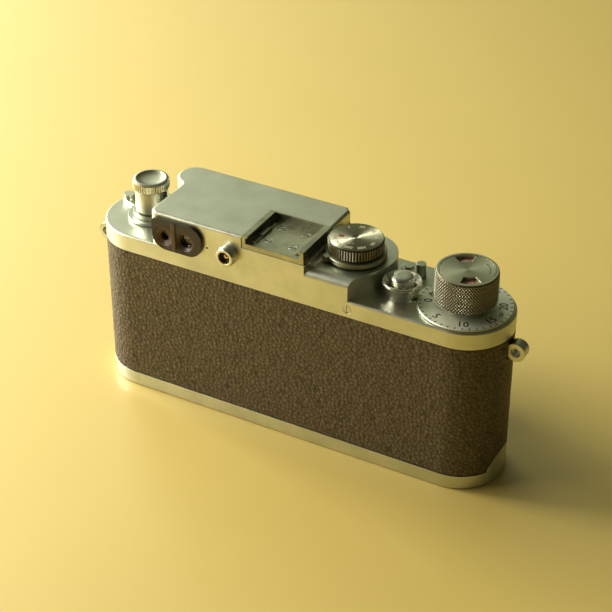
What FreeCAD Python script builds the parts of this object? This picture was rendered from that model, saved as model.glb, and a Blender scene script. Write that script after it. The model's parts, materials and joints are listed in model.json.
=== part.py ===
import FreeCAD, Part
import math
import os

import Sketcher

# A 35 mm rangefinder camera with a collapsible lens, modelled as its separate pieces.
# Frame: +X towards the rewind end, -Y towards the subject, +Z up. The origin is the middle of the
# base plate's resting face. Lengths are millimetres, angles degrees.

SIZES = {
    # Body shell, cover and base plate share one plan: a rectangle with round ends.
    "body_length": 136.0, "body_depth": 28.8, "base_top": 4.8, "cover_bottom": 50.2,
    "deck_top": 55.7, "platform_top": 62.2, "housing_top": 67.2, "cover_wall": 1.0,
    "base_floor": 1.2, "base_wall": 0.9, "shell_wall": 1.0, "leather_thick": 0.7, "seam": 0.1,
    "screw_z": 52.9, "screw_head": 1.3, "screw_front_left": 51.6, "screw_front_right": -44.0,
    # Rangefinder housing
    "housing_left": 44.6, "housing_right": -8.3, "housing_front": -16.1, "bulge_x": 43.8,
    "bulge_y": -10.5, "bulge_radius": 5.6, "platform_corner": -22.5, "platform_x": -17.4,
    "platform_y": -2.0, "platform_radius": 11.9,
    "platform_roll": 2.8, "pinhole_x": 24.5, "pinhole_radius": 0.3,
    # Axes of the controls
    "wind_x": -53.2, "sprocket_x": -34.86, "sprocket_y": 3.9, "drum_x": -17.8, "rewind_x": 53.2,
    "shaft_radius": 2.0, "running_gap": 0.1,
    # Winding train
    "tooth_module": 0.5, "wind_teeth": 43, "sprocket_teeth": 32, "drum_teeth": 38,
    "gear_bottom": 51.2, "gear_thick": 1.6, "addendum": 0.4, "dedendum": 0.6, "tooth_width": 0.665,
    # Wind knob, its film reminder and the frame counter
    "knob_radius": 9.25, "knob_bottom": 58.1, "knob_top": 68.0, "neck_radius": 6.0,
    "knob_recess_radius": 8.1, "knob_recess": 66.4, "reminder_thick": 0.5, "cap_bottom": 67.1,
    "cap_thick": 0.8, "disc_radius": 7.95, "window_inner": 4.2, "window_outer": 7.6,
    "window_angle": 121.0, "window_half": 23.0, "counter_radius": 14.0, "counter_bottom": 55.85,
    "counter_thick": 0.6, "counter_pin_place": 11.0, "counter_pin_radius": 0.55,
    # Take-up spool and sprocket
    "spool_bottom": 8.5, "spool_top": 47.5, "spool_core": 5.0, "spool_flange": 10.5,
    "sprocket_shaft": 3.0, "sprocket_bore": 1.6, "sprocket_disc": 6.05, "sprocket_tip": 6.9,
    "film_sprockets": 8, "sprocket_bottom": 7.0, "sprocket_top": 53.2, "sprocket_low": 13.3,
    "sprocket_high": 41.7, "sprocket_disc_thick": 2.0,
    # Release button
    "collar_foot": 4.7, "collar_rim": 5.9, "collar_bore": 3.75, "collar_top": 60.9,
    "button_radius": 3.4, "button_top": 62.7, "button_bottom": 58.2, "release_rod": 1.4,
    "release_rod_bottom": 44.0,
    "spring_inner": 1.75, "spring_outer": 2.55, "spring_top": 60.4,
    # Reversing lever
    "lever_x": -30.5, "lever_y": -9.6, "lever_post_x": -35.1, "lever_post_y": -8.2,
    "lever_post_radius": 1.45, "lever_post_top": 60.0, "lever_thick": 0.8, "lever_width": 3.2,
    "lever_hub": 2.3, "lever_screw": 1.4,
    # Shutter drum, rollers and speed dial
    "drum_radius": 6.0, "drum_bottom": 12.0, "drum_height": 33.0, "drum_shaft": 1.6,
    "drum_axle_bottom": 7.0, "drum_axle_top": 66.4, "sleeve_radius": 2.2, "sleeve_bottom": 59.5,
    "sleeve_top": 66.8, "dial_radius": 8.3, "dial_bottom": 64.4, "dial_top": 68.2,
    "sync_radius": 9.1, "sync_bottom": 62.5, "sync_top": 64.2, "sync_tab_radius": 10.2,
    "sync_tab_angle": 50.0, "sync_tab_half": 1.1,
    "roller_y": 3.6, "opening_x": 29.5, "closing_x": 36.0, "roller_radius": 2.4,
    "roller_axle": 0.8, "roller_top": 49.8, "curtain_low": 12.6, "curtain_high": 44.4,
    # Crate plates, film gate, pressure plate and curtains
    "top_plate_low": 48.8, "top_plate_thick": 1.2, "bottom_plate_low": 5.6,
    "bottom_plate_thick": 1.0, "crate_radius": 12.6, "gate_front": 8.0, "gate_thick": 2.4,
    "crate_left": 40.5, "crate_right": -42.0, "spool_clearance": 11.2,
    "frame_width": 36.0, "frame_height": 24.0, "gate_half": 21.0, "curtain_y": 6.35,
    "curtain_thick": 0.25, "pressure_half": 19.5, "pressure_tall": 17.0, "pressure_front": 11.3,
    "pressure_rear": 12.1, "leaf_rear": 12.62, "leaf_place": 10.5, "leaf_half": 2.5, "leaf_tall": 8.0,
    "rail_width": 1.0,
    # Rewind knob and the dioptre lever round its foot
    "rewind_radius": 5.7, "rewind_stem": 5.3, "rewind_bottom": 58.3, "rewind_grip": 65.9,
    "rewind_top": 69.0, "rewind_foot": 6.0, "rewind_foot_top": 58.0, "fork_bottom": 42.0,
    "rewind_collar": 3.2, "rewind_collar_low": 50.3, "rewind_collar_high": 51.0,
    "dioptre_angle": -20.0, "dioptre_ring": 7.6, "dioptre_start": 7.0, "dioptre_reach": 13.2,
    "dioptre_half": 1.7, "dioptre_thick": 0.8,
    # Finder windows and eyepieces
    "finder_x": 31.85, "ranging_x": 39.15, "eye_z": 59.8, "eye_bore": 3.0, "dish_radius": 3.5,
    "ranging_hole": 1.5, "finder_hole": 2.0, "ranging_window_x": 43.0, "second_window_x": 4.0,
    "window_z": 61.3, "window_radius": 3.4, "view_x": 29.4, "view_half": 4.4, "view_tall": 3.4,
    "eyepiece_left": 43.2, "eyepiece_right": 25.8, "eyepiece_low": 55.6, "eyepiece_high": 65.8,
    "eyepiece_corner_low": 4.8, "eyepiece_corner_high": 4.4, "eyepiece_corner_tip": 1.6,
    "eyepiece_thick": 1.1,
    # Optical blocks inside the housing
    "optics_low": 55.2, "tunnel_half": 5.0, "tunnel_top": 65.8, "tunnel_front": -11.5,
    "tunnel_rear": -1.5, "tunnel_bore_half": 4.0, "tunnel_bore_tall": 3.8,
    "mirror_left": 40.5, "mirror_right": 28.5, "mirror_front": 1.0, "mirror_rear": 6.5,
    "mirror_top": 64.6, "mirror_wall": 1.5, "mirror_bore_low": 57.0, "mirror_bore_high": 64.0,
    "prism_left": 7.2, "prism_right": 0.8, "prism_front": -12.5, "prism_rear": -7.0,
    "prism_top": 61.9, "cell_bore": 1.6, "cell_radius": 2.8, "cell_front": 8.8, "cell_rear": 10.8,
    # Accessory shoe, cut into the housing's top
    "shoe_left": 12.5, "shoe_right": -8.1, "shoe_front": -2.8, "shoe_low": 63.4,
    "shoe_floor": 65.0, "shoe_top": 67.5, "shoe_wall": 1.2, "shoe_lip": 1.9,
    "shoe_lip_thick": 0.6, "shoe_stop": 0.5, "shoe_screw": 1.15, "shoe_screw_inset": 6.2,
    "shoe_screw_front": 1.6, "shoe_screw_rear": 9.6, "spring_half": 1.0, "spring_inset": 2.9,
    "spring_reach": 12.5, "spring_bow_front": 3.5, "spring_bow_rear": 8.5,
    # Sync socket and strap lugs
    "socket_x": 17.0, "socket_z": 59.9, "socket_radius": 3.2, "socket_reach": 2.8,
    "socket_bore": 1.95, "contact_radius": 0.7,
    "lug_x": 70.0, "lug_z": 45.9, "lug_radius": 2.9, "lug_hole": 1.5, "lug_width": 3.5,
    # Base plate fittings
    "base_bevel": 0.4, "hook_radius": 7.0, "hook_top": 10.3, "hook_thick": 0.45, "bush_x": -46.0,
    "bush_radius": 5.0, "bush_hole": 3.1, "bush_top": 5.0, "lock_x": 50.0, "lock_radius": 8.8,
    "lock_hub": 2.6, "lock_hub_top": 3.2, "key_radius": 7.0, "key_low": 0.3, "key_high": 1.0,
    "key_recess_top": 1.25, "key_pivot": 0.35, "finger_radius": 3.4, "finger_y": 4.6,
    "latch_low": 3.25, "latch_high": 4.1, "latch_reach": 11.5, "latch_hub": 4.2, "latch_half": 2.2,
    # Lens: places are measured forward from the body's middle plane
    "lens_x": 5.0, "lens_z": 28.5, "mount_radius": 21.5, "mount_bore": 19.6, "mount_rear": 13.75,
    "mount_face": 18.3, "mount_screw_circle": 20.55, "mount_screw": 0.7,
    "barrel_thread": 19.4, "barrel_flange": 23.0, "barrel_bore": 18.9, "barrel_front": 20.3,
    "focus_radius": 24.0, "focus_rear": 20.5, "focus_front": 24.8, "focus_reach": 27.0,
    "focus_tab": 2.2, "focus_tab_angle": -125.0,
    "carriage_radius": 18.6, "carriage_rear": 10.0, "tube_radius": 15.2, "tube_rear": -2.5,
    "tube_front": 27.9, "head_radius": 18.0, "head_front": 36.5, "head_bore": 8.6,
    "head_tail": 10.5, "head_tail_rear": 20.0, "head_rim": 13.4, "aperture_radius": 12.0,
    "aperture_bore": 8.8, "aperture_pin": 0.7, "aperture_pin_place": 10.8, "glass_radius": 8.5,
    "iris_hole": 3.2, "iris_rear": 26.2, "iris_front": 26.5,
    # Coupling arm of the rangefinder
    "arm_pivot_x": 27.0, "arm_y": -8.8, "arm_half": 0.8, "arm_low": 44.7, "arm_high": 46.4,
    "arm_hub": 1.6, "arm_pin_top": 49.9, "arm_roller": 1.0,
    # Slow speed dial on the front
    "slow_x": -37.0, "slow_z": 37.0, "slow_radius": 8.0, "slow_rear": 15.4, "slow_front": 20.0,
    "slow_shaft_rear": 12.9, "slow_shoulder": 18.4,
}

doc = FreeCAD.newDocument("RangefinderCamera")
sheet = doc.addObject("Spreadsheet::Sheet", "Sizes")
for row, (alias, number) in enumerate(SIZES.items(), 1):
    sheet.set(f"A{row}", alias)
    sheet.set(f"B{row}", str(number))
    sheet.setAlias(f"B{row}", alias)
doc.recompute()


class Size:
    """A length or angle together with the spreadsheet formula that gives it."""

    def __init__(self, value, formula=None):
        self.value = float(value)
        self.formula = formula or repr(float(value))

    def __add__(self, other):
        other = as_size(other)
        return Size(self.value + other.value, f"({self.formula} + {other.formula})")

    def __sub__(self, other):
        other = as_size(other)
        return Size(self.value - other.value, f"({self.formula} - ({other.formula}))")

    def __mul__(self, other):
        other = as_size(other)
        return Size(self.value * other.value, f"({self.formula} * {other.formula})")

    def __truediv__(self, other):
        other = as_size(other)
        return Size(self.value / other.value, f"({self.formula} / {other.formula})")

    def __neg__(self):
        return self * -1

    def __radd__(self, other):
        return as_size(other) + self

    def __rsub__(self, other):
        return as_size(other) - self

    __rmul__ = __mul__


class Dimensions:
    """The sheet's cells by name, each as a Size bound to its cell."""

    def __getattr__(self, name):
        return Size(SIZES[name], f"Sizes.{name}")


def as_size(number):
    return number if isinstance(number, Size) else Size(number)


RAIL_PLACES = (-17.2, -14.2, 13.2, 16.2)  # lower edges of the film rails from the lens axis

d = Dimensions()
ends = (d.body_length - d.body_depth) / 2
outer_radius = d.body_depth / 2
shell_radius = outer_radius - d.leather_thick
shell_inside = shell_radius - d.shell_wall
pieces = []
screws = []     # slotted screws from all over the camera, kept as one node
glasses = []    # finder windows and eyepiece glasses, kept as one node


# --- Building helpers -------------------------------------------------------------------------

def bind(item, **settings):
    """Ties properties of an object to formulas; double underscores stand for dots."""
    for name, number in settings.items():
        item.setExpression(name.replace("__", "."), as_size(number).formula)
    return item


def place(item, x=0, y=0, z=0, turn=None):
    """Puts an object at a bound place, turned about the X axis by a fixed angle where given."""
    if turn is not None:
        item.Placement = FreeCAD.Placement(FreeCAD.Vector(), FreeCAD.Rotation(FreeCAD.Vector(1, 0, 0), turn))
    return bind(item, Placement__Base__x=x, Placement__Base__y=y, Placement__Base__z=z)


def piece(item, label):
    """Marks an object as a finished piece under its own name."""
    item.Label = label
    pieces.append(item)
    return item


FORWARD = 90    # turns local Z to point at the subject
REARWARD = -90  # turns local Z to point at the user
counts = {}


def helper_name(kind):
    counts[kind] = counts.get(kind, 0) + 1
    return f"{kind}_{counts[kind]}"


def cylinder(radius, low, high, x=0, y=0):
    """An upright cylinder from one height to another."""
    item = doc.addObject("Part::Cylinder", helper_name("round"))
    low, high = as_size(low), as_size(high)
    bind(item, Radius=radius, Height=high - low)
    return place(item, x, y, low)


def cylinder_along_y(radius, rear, front, x, z):
    """A cylinder along Y: rear and front are distances forward of the middle plane."""
    item = doc.addObject("Part::Cylinder", helper_name("round"))
    rear, front = as_size(rear), as_size(front)
    bind(item, Radius=radius, Height=front - rear)
    return place(item, x, -rear, z, FORWARD)


def cylinder_along_x(radius, left, right, y, z):
    """A cylinder along X between two X places."""
    item = doc.addObject("Part::Cylinder", helper_name("round"))
    left, right = as_size(left), as_size(right)
    bind(item, Radius=radius, Height=right - left)
    item.Placement = FreeCAD.Placement(FreeCAD.Vector(), FreeCAD.Rotation(FreeCAD.Vector(0, 1, 0), 90))
    return bind(item, Placement__Base__x=left, Placement__Base__y=y, Placement__Base__z=z)


def box(left, right, front, rear, low, high):
    """A box between two X, two Y and two Z places."""
    item = doc.addObject("Part::Box", helper_name("block"))
    left, front, low = as_size(left), as_size(front), as_size(low)
    bind(item, Length=right - left, Width=rear - front, Height=high - low)
    return place(item, left, front, low)


def bar(x, y, start, end, half_width, low, high, angle):
    """A bar running outwards from an upright axis, at a fixed angle from +X."""
    item = doc.addObject("Part::Box", helper_name("bar"))
    start, half_width, low = as_size(start), as_size(half_width), as_size(low)
    bind(item, Length=end - start, Width=half_width * 2, Height=high - low)
    item.Placement = FreeCAD.Placement(FreeCAD.Vector(), FreeCAD.Rotation(FreeCAD.Vector(0, 0, 1), angle))
    along, across = math.cos(math.radians(angle)), math.sin(math.radians(angle))
    return place(item, start * along + half_width * across + x, start * across - half_width * along + y, low)


def fuse(*items):
    item = doc.addObject("Part::MultiFuse", helper_name("joined"))
    item.Shapes = list(items)
    item.Refine = True
    return item


def cut(base, *tools):
    item = doc.addObject("Part::Cut", helper_name("cut"))
    item.Base = base
    item.Tool = tools[0] if len(tools) == 1 else fuse(*tools)
    return item


def common(first, second):
    item = doc.addObject("Part::Common", helper_name("overlap"))
    item.Base = first
    item.Tool = second
    return item


def group(*items):
    """Identical or matched solids kept as one node."""
    item = doc.addObject("Part::Compound", helper_name("set"))
    item.Links = list(items)
    return item


def new_body(name):
    return doc.addObject("PartDesign::Body", name)


def plane(body, role):
    return next(item for item in body.Origin.OriginFeatures if item.Role == role)


def sketch_on(body, role, height=0):
    """A sketch on one of the body's own origin planes, lifted along the plane's normal."""
    sketch = body.newObject("Sketcher::SketchObject", helper_name("outline"))
    sketch.AttachmentSupport = [(plane(body, role), "")]
    sketch.MapMode = "FlatFace"
    bind(sketch, AttachmentOffset__Base__z=height)
    return sketch


def fix_point(sketch, element, end, x, y):
    """Holds one point of a sketch element at bound coordinates."""
    for kind, number in (("DistanceX", as_size(x)), ("DistanceY", as_size(y))):
        index = sketch.addConstraint(Sketcher.Constraint(kind, -1, 1, element, end, number.value))
        sketch.setExpression(f"Constraints[{index}]", number.formula)


def draw_polygon(sketch, points):
    """A closed outline of straight lines through bound points."""
    points = [(as_size(x), as_size(y)) for x, y in points]
    corners = [FreeCAD.Vector(x.value, y.value, 0) for x, y in points]
    first = sketch.GeometryCount
    total = len(points)
    for i in range(total):
        sketch.addGeometry(Part.LineSegment(corners[i], corners[(i + 1) % total]))
    for i in range(total):
        joint = (first + i, 2, first + (i + 1) % total, 1)
        sketch.addConstraint(Sketcher.Constraint("Coincident", *joint))
        fix_point(sketch, first + i, 1, *points[i])


def draw_circle(sketch, radius, x=0, y=0):
    radius, x, y = as_size(radius), as_size(x), as_size(y)
    centre = FreeCAD.Vector(x.value, y.value, 0)
    element = sketch.addGeometry(Part.Circle(centre, FreeCAD.Vector(0, 0, 1), radius.value))
    index = sketch.addConstraint(Sketcher.Constraint("Radius", element, radius.value))
    sketch.setExpression(f"Constraints[{index}]", radius.formula)
    fix_point(sketch, element, 3, x, y)


def draw_stadium(sketch, radius):
    """The camera's plan: two straight sides joined by half-round ends of the given radius."""
    radius = as_size(radius)
    r, c = radius.value, ends.value
    up = FreeCAD.Vector(0, 0, 1)
    first = sketch.GeometryCount
    lines = (((-c, r), (c, r)), ((c, -r), (-c, -r)))
    for start, end in lines:
        sketch.addGeometry(Part.LineSegment(FreeCAD.Vector(*start, 0), FreeCAD.Vector(*end, 0)))
    quarter = math.pi / 2
    for centre, start in ((c, -quarter), (-c, quarter)):
        circle = Part.Circle(FreeCAD.Vector(centre, 0, 0), up, r)
        sketch.addGeometry(Part.ArcOfCircle(circle, start, start + 2 * quarter))
    fix_point(sketch, first, 1, -ends, radius)
    fix_point(sketch, first, 2, ends, radius)
    fix_point(sketch, first + 1, 1, ends, -radius)
    fix_point(sketch, first + 1, 2, -ends, -radius)
    joints = ((0, 2, 2, 2), (1, 1, 2, 1), (0, 1, 3, 1), (1, 2, 3, 2))
    for line, line_end, arc, arc_end in joints:
        tie = (first + line, line_end, first + arc, arc_end)
        sketch.addConstraint(Sketcher.Constraint("Coincident", *tie))
    for arc, centre in ((2, ends), (3, -ends)):
        index = sketch.addConstraint(Sketcher.Constraint("DistanceX", -1, 1, first + arc, 3, centre.value))
        sketch.setExpression(f"Constraints[{index}]", centre.formula)


def pad(body, sketch, length):
    feature = body.newObject("PartDesign::Pad", helper_name("pad"))
    feature.Profile = sketch
    return bind(feature, Length=length)


def pocket(body, sketch, length, reverse=True):
    """Cuts a sketch away, by default along the sketch's normal."""
    feature = body.newObject("PartDesign::Pocket", helper_name("pocket"))
    feature.Profile = sketch
    feature.Reversed = reverse
    return bind(feature, Length=length)


def revolve(body, points, kind="PartDesign::Revolution"):
    """Turns an outline of (radius, height) points about the body's own Z axis."""
    sketch = sketch_on(body, "XZ_Plane")
    draw_polygon(sketch, points)
    feature = body.newObject(kind, helper_name("turning"))
    feature.Profile = sketch
    feature.ReferenceAxis = (sketch, ["V_Axis"])
    feature.Angle = 360
    return feature


def turned(name, points, x=0, y=0, z=0, turn=None):
    """A lathe-turned body with its axis upright, or along Y where a turn is given."""
    body = new_body(name)
    revolve(body, points)
    return place(body, x, y, z, turn)


def ring_points(inner, outer, low, high, bevel=0):
    """The section of a ring or disc, with its outer corners bevelled."""
    outer, low, high = as_size(outer), as_size(low), as_size(high)
    if not bevel:
        return [(inner, low), (outer, low), (outer, high), (inner, high)]
    return [(inner, low), (outer - bevel, low), (outer, low + bevel), (outer, high - bevel),
            (outer - bevel, high), (inner, high)]


def lens_turned(name, points):
    """A turned body on the lens axis; heights in its outline are distances forward."""
    return turned(name, points, d.lens_x, 0, d.lens_z, FORWARD)


def ring_sector(inner, outer, low, high, x, y, start, end):
    """Part of a flat ring between two angles, as a solid made from its own section."""
    middle = FreeCAD.Vector(0, 0, 0)
    up = FreeCAD.Vector(0, 0, 1)
    solid = Part.makeCylinder(outer, high - low, FreeCAD.Vector(0, 0, low), up, end - start)
    solid = solid.cut(Part.makeCylinder(inner, high - low, FreeCAD.Vector(0, 0, low), up))
    solid.rotate(middle, up, start)
    solid.translate(FreeCAD.Vector(x, y, 0))
    return solid


def shaped(name, solid):
    item = doc.addObject("Part::Feature", name)
    item.Shape = solid
    return item


# --- Gears ------------------------------------------------------------------------------------

def gear_solid(teeth, tooth_angle, x, y):
    """A spur gear of straight-flanked teeth, one of them centred on tooth_angle."""
    pitch_radius = SIZES["tooth_module"] * teeth / 2
    root = pitch_radius - SIZES["dedendum"]
    tip = pitch_radius + SIZES["addendum"]
    half_pitch = SIZES["tooth_width"] / 2
    slope = math.tan(math.radians(20))
    half_root = half_pitch + SIZES["dedendum"] * slope
    half_tip = half_pitch - SIZES["addendum"] * slope
    corners = []
    for tooth in range(teeth):
        middle = math.radians(tooth_angle) + 2 * math.pi * tooth / teeth
        for radius, half in ((root, -half_root), (tip, -half_tip), (tip, half_tip), (root, half_root)):
            angle = middle + half / radius
            corners.append(FreeCAD.Vector(x + radius * math.cos(angle), y + radius * math.sin(angle),
                                          SIZES["gear_bottom"]))
    face = Part.Face(Part.makePolygon(corners + corners[:1]))
    return face.extrude(FreeCAD.Vector(0, 0, SIZES["gear_thick"]))


def upright(radius, low, high, x, y):
    return Part.makeCylinder(radius, high - low, FreeCAD.Vector(x, y, low))


TRAIN_ANGLE = math.degrees(math.atan2(SIZES["sprocket_y"], SIZES["sprocket_x"] - SIZES["wind_x"]))
SECOND_ANGLE = math.degrees(math.atan2(-SIZES["sprocket_y"], SIZES["drum_x"] - SIZES["sprocket_x"]))
SPROCKET_STEP = 360 / SIZES["sprocket_teeth"]
DRUM_STEP = 360 / SIZES["drum_teeth"]
# The sprocket gear has a gap facing the wind gear's tooth; the drum gear's gap meets its teeth.
SPROCKET_TOOTH = TRAIN_ANGLE + 180 + SPROCKET_STEP / 2
TOOTH_AHEAD = (SPROCKET_TOOTH - SECOND_ANGLE) % SPROCKET_STEP
DRUM_TOOTH = SECOND_ANGLE + 180 - TOOTH_AHEAD * SIZES["sprocket_teeth"] / SIZES["drum_teeth"] + DRUM_STEP / 2


# --- Body shell, covering and base plate ------------------------------------------------------

def make_body_shell():
    body = new_body("body_shell")
    low = d.base_top + d.seam
    height = d.cover_bottom - d.seam - low
    outline = sketch_on(body, "XY_Plane", low)
    draw_stadium(outline, shell_radius)
    draw_stadium(outline, shell_inside)
    pad(body, outline, height)
    throat = sketch_on(body, "XZ_Plane")
    draw_circle(throat, d.mount_bore, d.lens_x, d.lens_z)
    draw_circle(throat, d.sleeve_radius, d.slow_x, d.slow_z)
    pocket(body, throat, outer_radius)
    piece(body, "body_shell")


def make_leather():
    body = new_body("leather_cover")
    low = d.base_top + d.seam
    height = d.cover_bottom - d.seam - low
    outline = sketch_on(body, "XY_Plane", low)
    draw_stadium(outline, outer_radius)
    draw_stadium(outline, shell_radius + 0.05)
    pad(body, outline, height)
    throat = sketch_on(body, "XZ_Plane")
    draw_circle(throat, d.mount_radius + 0.3, d.lens_x, d.lens_z)
    draw_circle(throat, d.slow_radius + 0.3, d.slow_x, d.slow_z)
    pocket(body, throat, d.body_depth)
    sides = sketch_on(body, "YZ_Plane")
    lug_half = d.lug_width / 2 + 0.2
    lug_low = d.lug_z - d.lug_radius - 0.2
    lug_high = d.lug_z + d.lug_radius + 0.2
    draw_polygon(sides, [(-lug_half, lug_low), (lug_half, lug_low), (lug_half, lug_high),
                         (-lug_half, lug_high)])
    feature = pocket(body, sides, d.body_length * 1.2)
    feature.Midplane = True
    notch = sketch_on(body, "YZ_Plane")
    draw_circle(notch, d.hook_radius + 0.3, 0, d.hook_top - d.hook_radius)
    pocket(body, notch, d.body_length, reverse=False)
    piece(body, "leather_cover")


def make_base_plate():
    body = new_body("base_tray")
    outline = sketch_on(body, "XY_Plane")
    draw_stadium(outline, outer_radius)
    pad(body, outline, d.base_top)
    doc.recompute()
    rim = edges_where(body.Tip.Shape, lambda b: near(b.ZMin, 0) and near(b.ZMax, 0))
    base = body.Tip
    chamfer = body.newObject("PartDesign::Chamfer", "base_edge")
    chamfer.Base = (base, rim)
    bind(chamfer, Size=d.base_bevel)
    tray = sketch_on(body, "XY_Plane", d.base_floor)
    draw_stadium(tray, outer_radius - d.base_wall)
    pocket(body, tray, d.base_top)
    holes = sketch_on(body, "XY_Plane")
    draw_circle(holes, d.lock_radius + 0.2, d.lock_x, 0)
    draw_circle(holes, d.bush_radius - 1, d.bush_x, 0)
    pocket(body, holes, d.base_floor * 2)
    hook = cut(cylinder(outer_radius, d.base_top - 0.5, d.hook_top, -ends, 0),
               cylinder(outer_radius - d.hook_thick, 0, d.hook_top + 1, -ends, 0))
    arch = cylinder_along_x(d.hook_radius, -d.body_length, -ends, 0, d.hook_top - d.hook_radius)
    piece(fuse(body, common(hook, arch)), "base_plate")


def make_base_fittings():
    neck = d.bush_radius - 1.05
    shoulder = d.base_floor + 0.02
    bush = turned("tripod_bush", [
        (d.bush_hole, 0.1), (neck, 0.1), (neck, shoulder), (d.bush_radius, shoulder),
        (d.bush_radius, d.bush_top), (d.bush_hole, d.bush_top)], d.bush_x)
    piece(bush, "tripod_bush")
    flange, flange_low, flange_high = d.lock_radius + 0.9, 1.35, 2.1
    disc = turned("lock_disc_blank", [
        (0, 0.15), (d.lock_radius, 0.15), (d.lock_radius, flange_low), (flange, flange_low),
        (flange, flange_high), (d.lock_hub, flange_high), (d.lock_hub, d.lock_hub_top),
        (0, d.lock_hub_top)], d.lock_x)
    left, right = d.lock_x + d.lock_radius, d.lock_x - d.lock_radius
    recess = common(cylinder(d.key_radius + 0.4, 0, d.key_recess_top, d.lock_x, 0),
                    box(right, left, -0.8, d.lock_radius, 0, d.key_recess_top))
    piece(cut(disc, recess), "lock_disc")
    key_plate = common(cylinder(d.key_radius, d.key_low, d.key_high, d.lock_x, 0),
                       box(right, left, 0, d.lock_radius, d.key_low, d.key_high))
    pivot = cylinder_along_x(d.key_pivot, d.lock_x - d.key_radius, d.lock_x + d.key_radius, 0,
                             (d.key_low + d.key_high) / 2)
    finger = cylinder(d.finger_radius, d.key_low - 0.1, d.key_high + 0.1, d.lock_x, d.finger_y)
    piece(cut(fuse(key_plate, pivot), finger), "lock_key")
    latch = fuse(cylinder(d.latch_hub, d.latch_low, d.latch_high, d.lock_x, 0),
                 box(d.lock_x - d.latch_half, d.lock_x + d.latch_half, -d.latch_reach, 0,
                     d.latch_low, d.latch_high))
    piece(latch, "lock_latch")


# --- Top cover --------------------------------------------------------------------------------

def draw_platform(sketch, inset):
    """The raised platform's plan: a straight rear side running tangent into a round end."""
    radius = d.platform_radius - inset
    rear = outer_radius - inset
    corner = d.platform_corner + 1.25 * inset
    front = d.platform_y - radius
    inner = d.housing_right + 4
    points = [(corner, rear), None, (d.platform_x, front), (inner, front), (inner, rear)]
    across = corner.value - d.platform_x.value
    along = rear.value - d.platform_y.value
    reach = math.hypot(across, along)
    touch = math.atan2(along, across) + math.acos(radius.value / reach)
    touch_x = d.platform_x.value + radius.value * math.cos(touch)
    touch_y = d.platform_y.value + radius.value * math.sin(touch)
    corners = [FreeCAD.Vector(p[0].value, p[1].value, 0) if p else FreeCAD.Vector(touch_x, touch_y, 0)
               for p in points]
    sketch.addGeometry(Part.LineSegment(corners[0], corners[1]))
    circle = Part.Circle(FreeCAD.Vector(d.platform_x.value, d.platform_y.value, 0),
                         FreeCAD.Vector(0, 0, 1), radius.value)
    sketch.addGeometry(Part.ArcOfCircle(circle, touch, 1.5 * math.pi))
    for start, end in ((2, 3), (3, 4), (4, 0)):
        sketch.addGeometry(Part.LineSegment(corners[start], corners[end]))
    sketch.addConstraint(Sketcher.Constraint("Tangent", 0, 2, 1, 1))
    for first, first_end, second, second_end in ((1, 2, 2, 1), (2, 2, 3, 1), (3, 2, 4, 1), (4, 2, 0, 1)):
        sketch.addConstraint(Sketcher.Constraint("Coincident", first, first_end, second, second_end))
    fix_point(sketch, 1, 3, d.platform_x, d.platform_y)
    fix_point(sketch, 0, 1, corner, rear)
    fix_point(sketch, 1, 2, d.platform_x, front)
    fix_point(sketch, 2, 2, inner, front)
    fix_point(sketch, 3, 2, inner, rear)


def housing_outline(inset):
    """The rangefinder housing's plan without its round front corner."""
    left, right = d.housing_left - inset, d.housing_right + inset
    front, rear = d.housing_front + inset, outer_radius - inset
    return [(left, rear), (right, rear), (right, front + 1.7), (right + 1.7, front),
            (d.bulge_x, front), (d.bulge_x, d.bulge_y), (left, d.bulge_y)]


def edges_where(shape, test):
    return [f"Edge{i}" for i, edge in enumerate(shape.Edges, 1) if test(edge.BoundBox)]


def round_edges(body, radius, test):
    """Fillets the edges of the body's current solid whose bounding boxes pass the test."""
    doc.recompute()
    base = body.Tip
    names = edges_where(base.Shape, test)
    feature = body.newObject("PartDesign::Fillet", helper_name("round_edge"))
    feature.Base = (base, names)
    bind(feature, Radius=radius)
    doc.recompute()


def near(a, b, gap=0.05):
    return abs(a - b) < gap


# Screws round the skirt: their X places, and 1 for the front or -1 for the rear.
SKIRT_SCREWS = ((d.platform_corner, -1), (d.screw_front_left, 1), (d.screw_front_right, 1))


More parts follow.
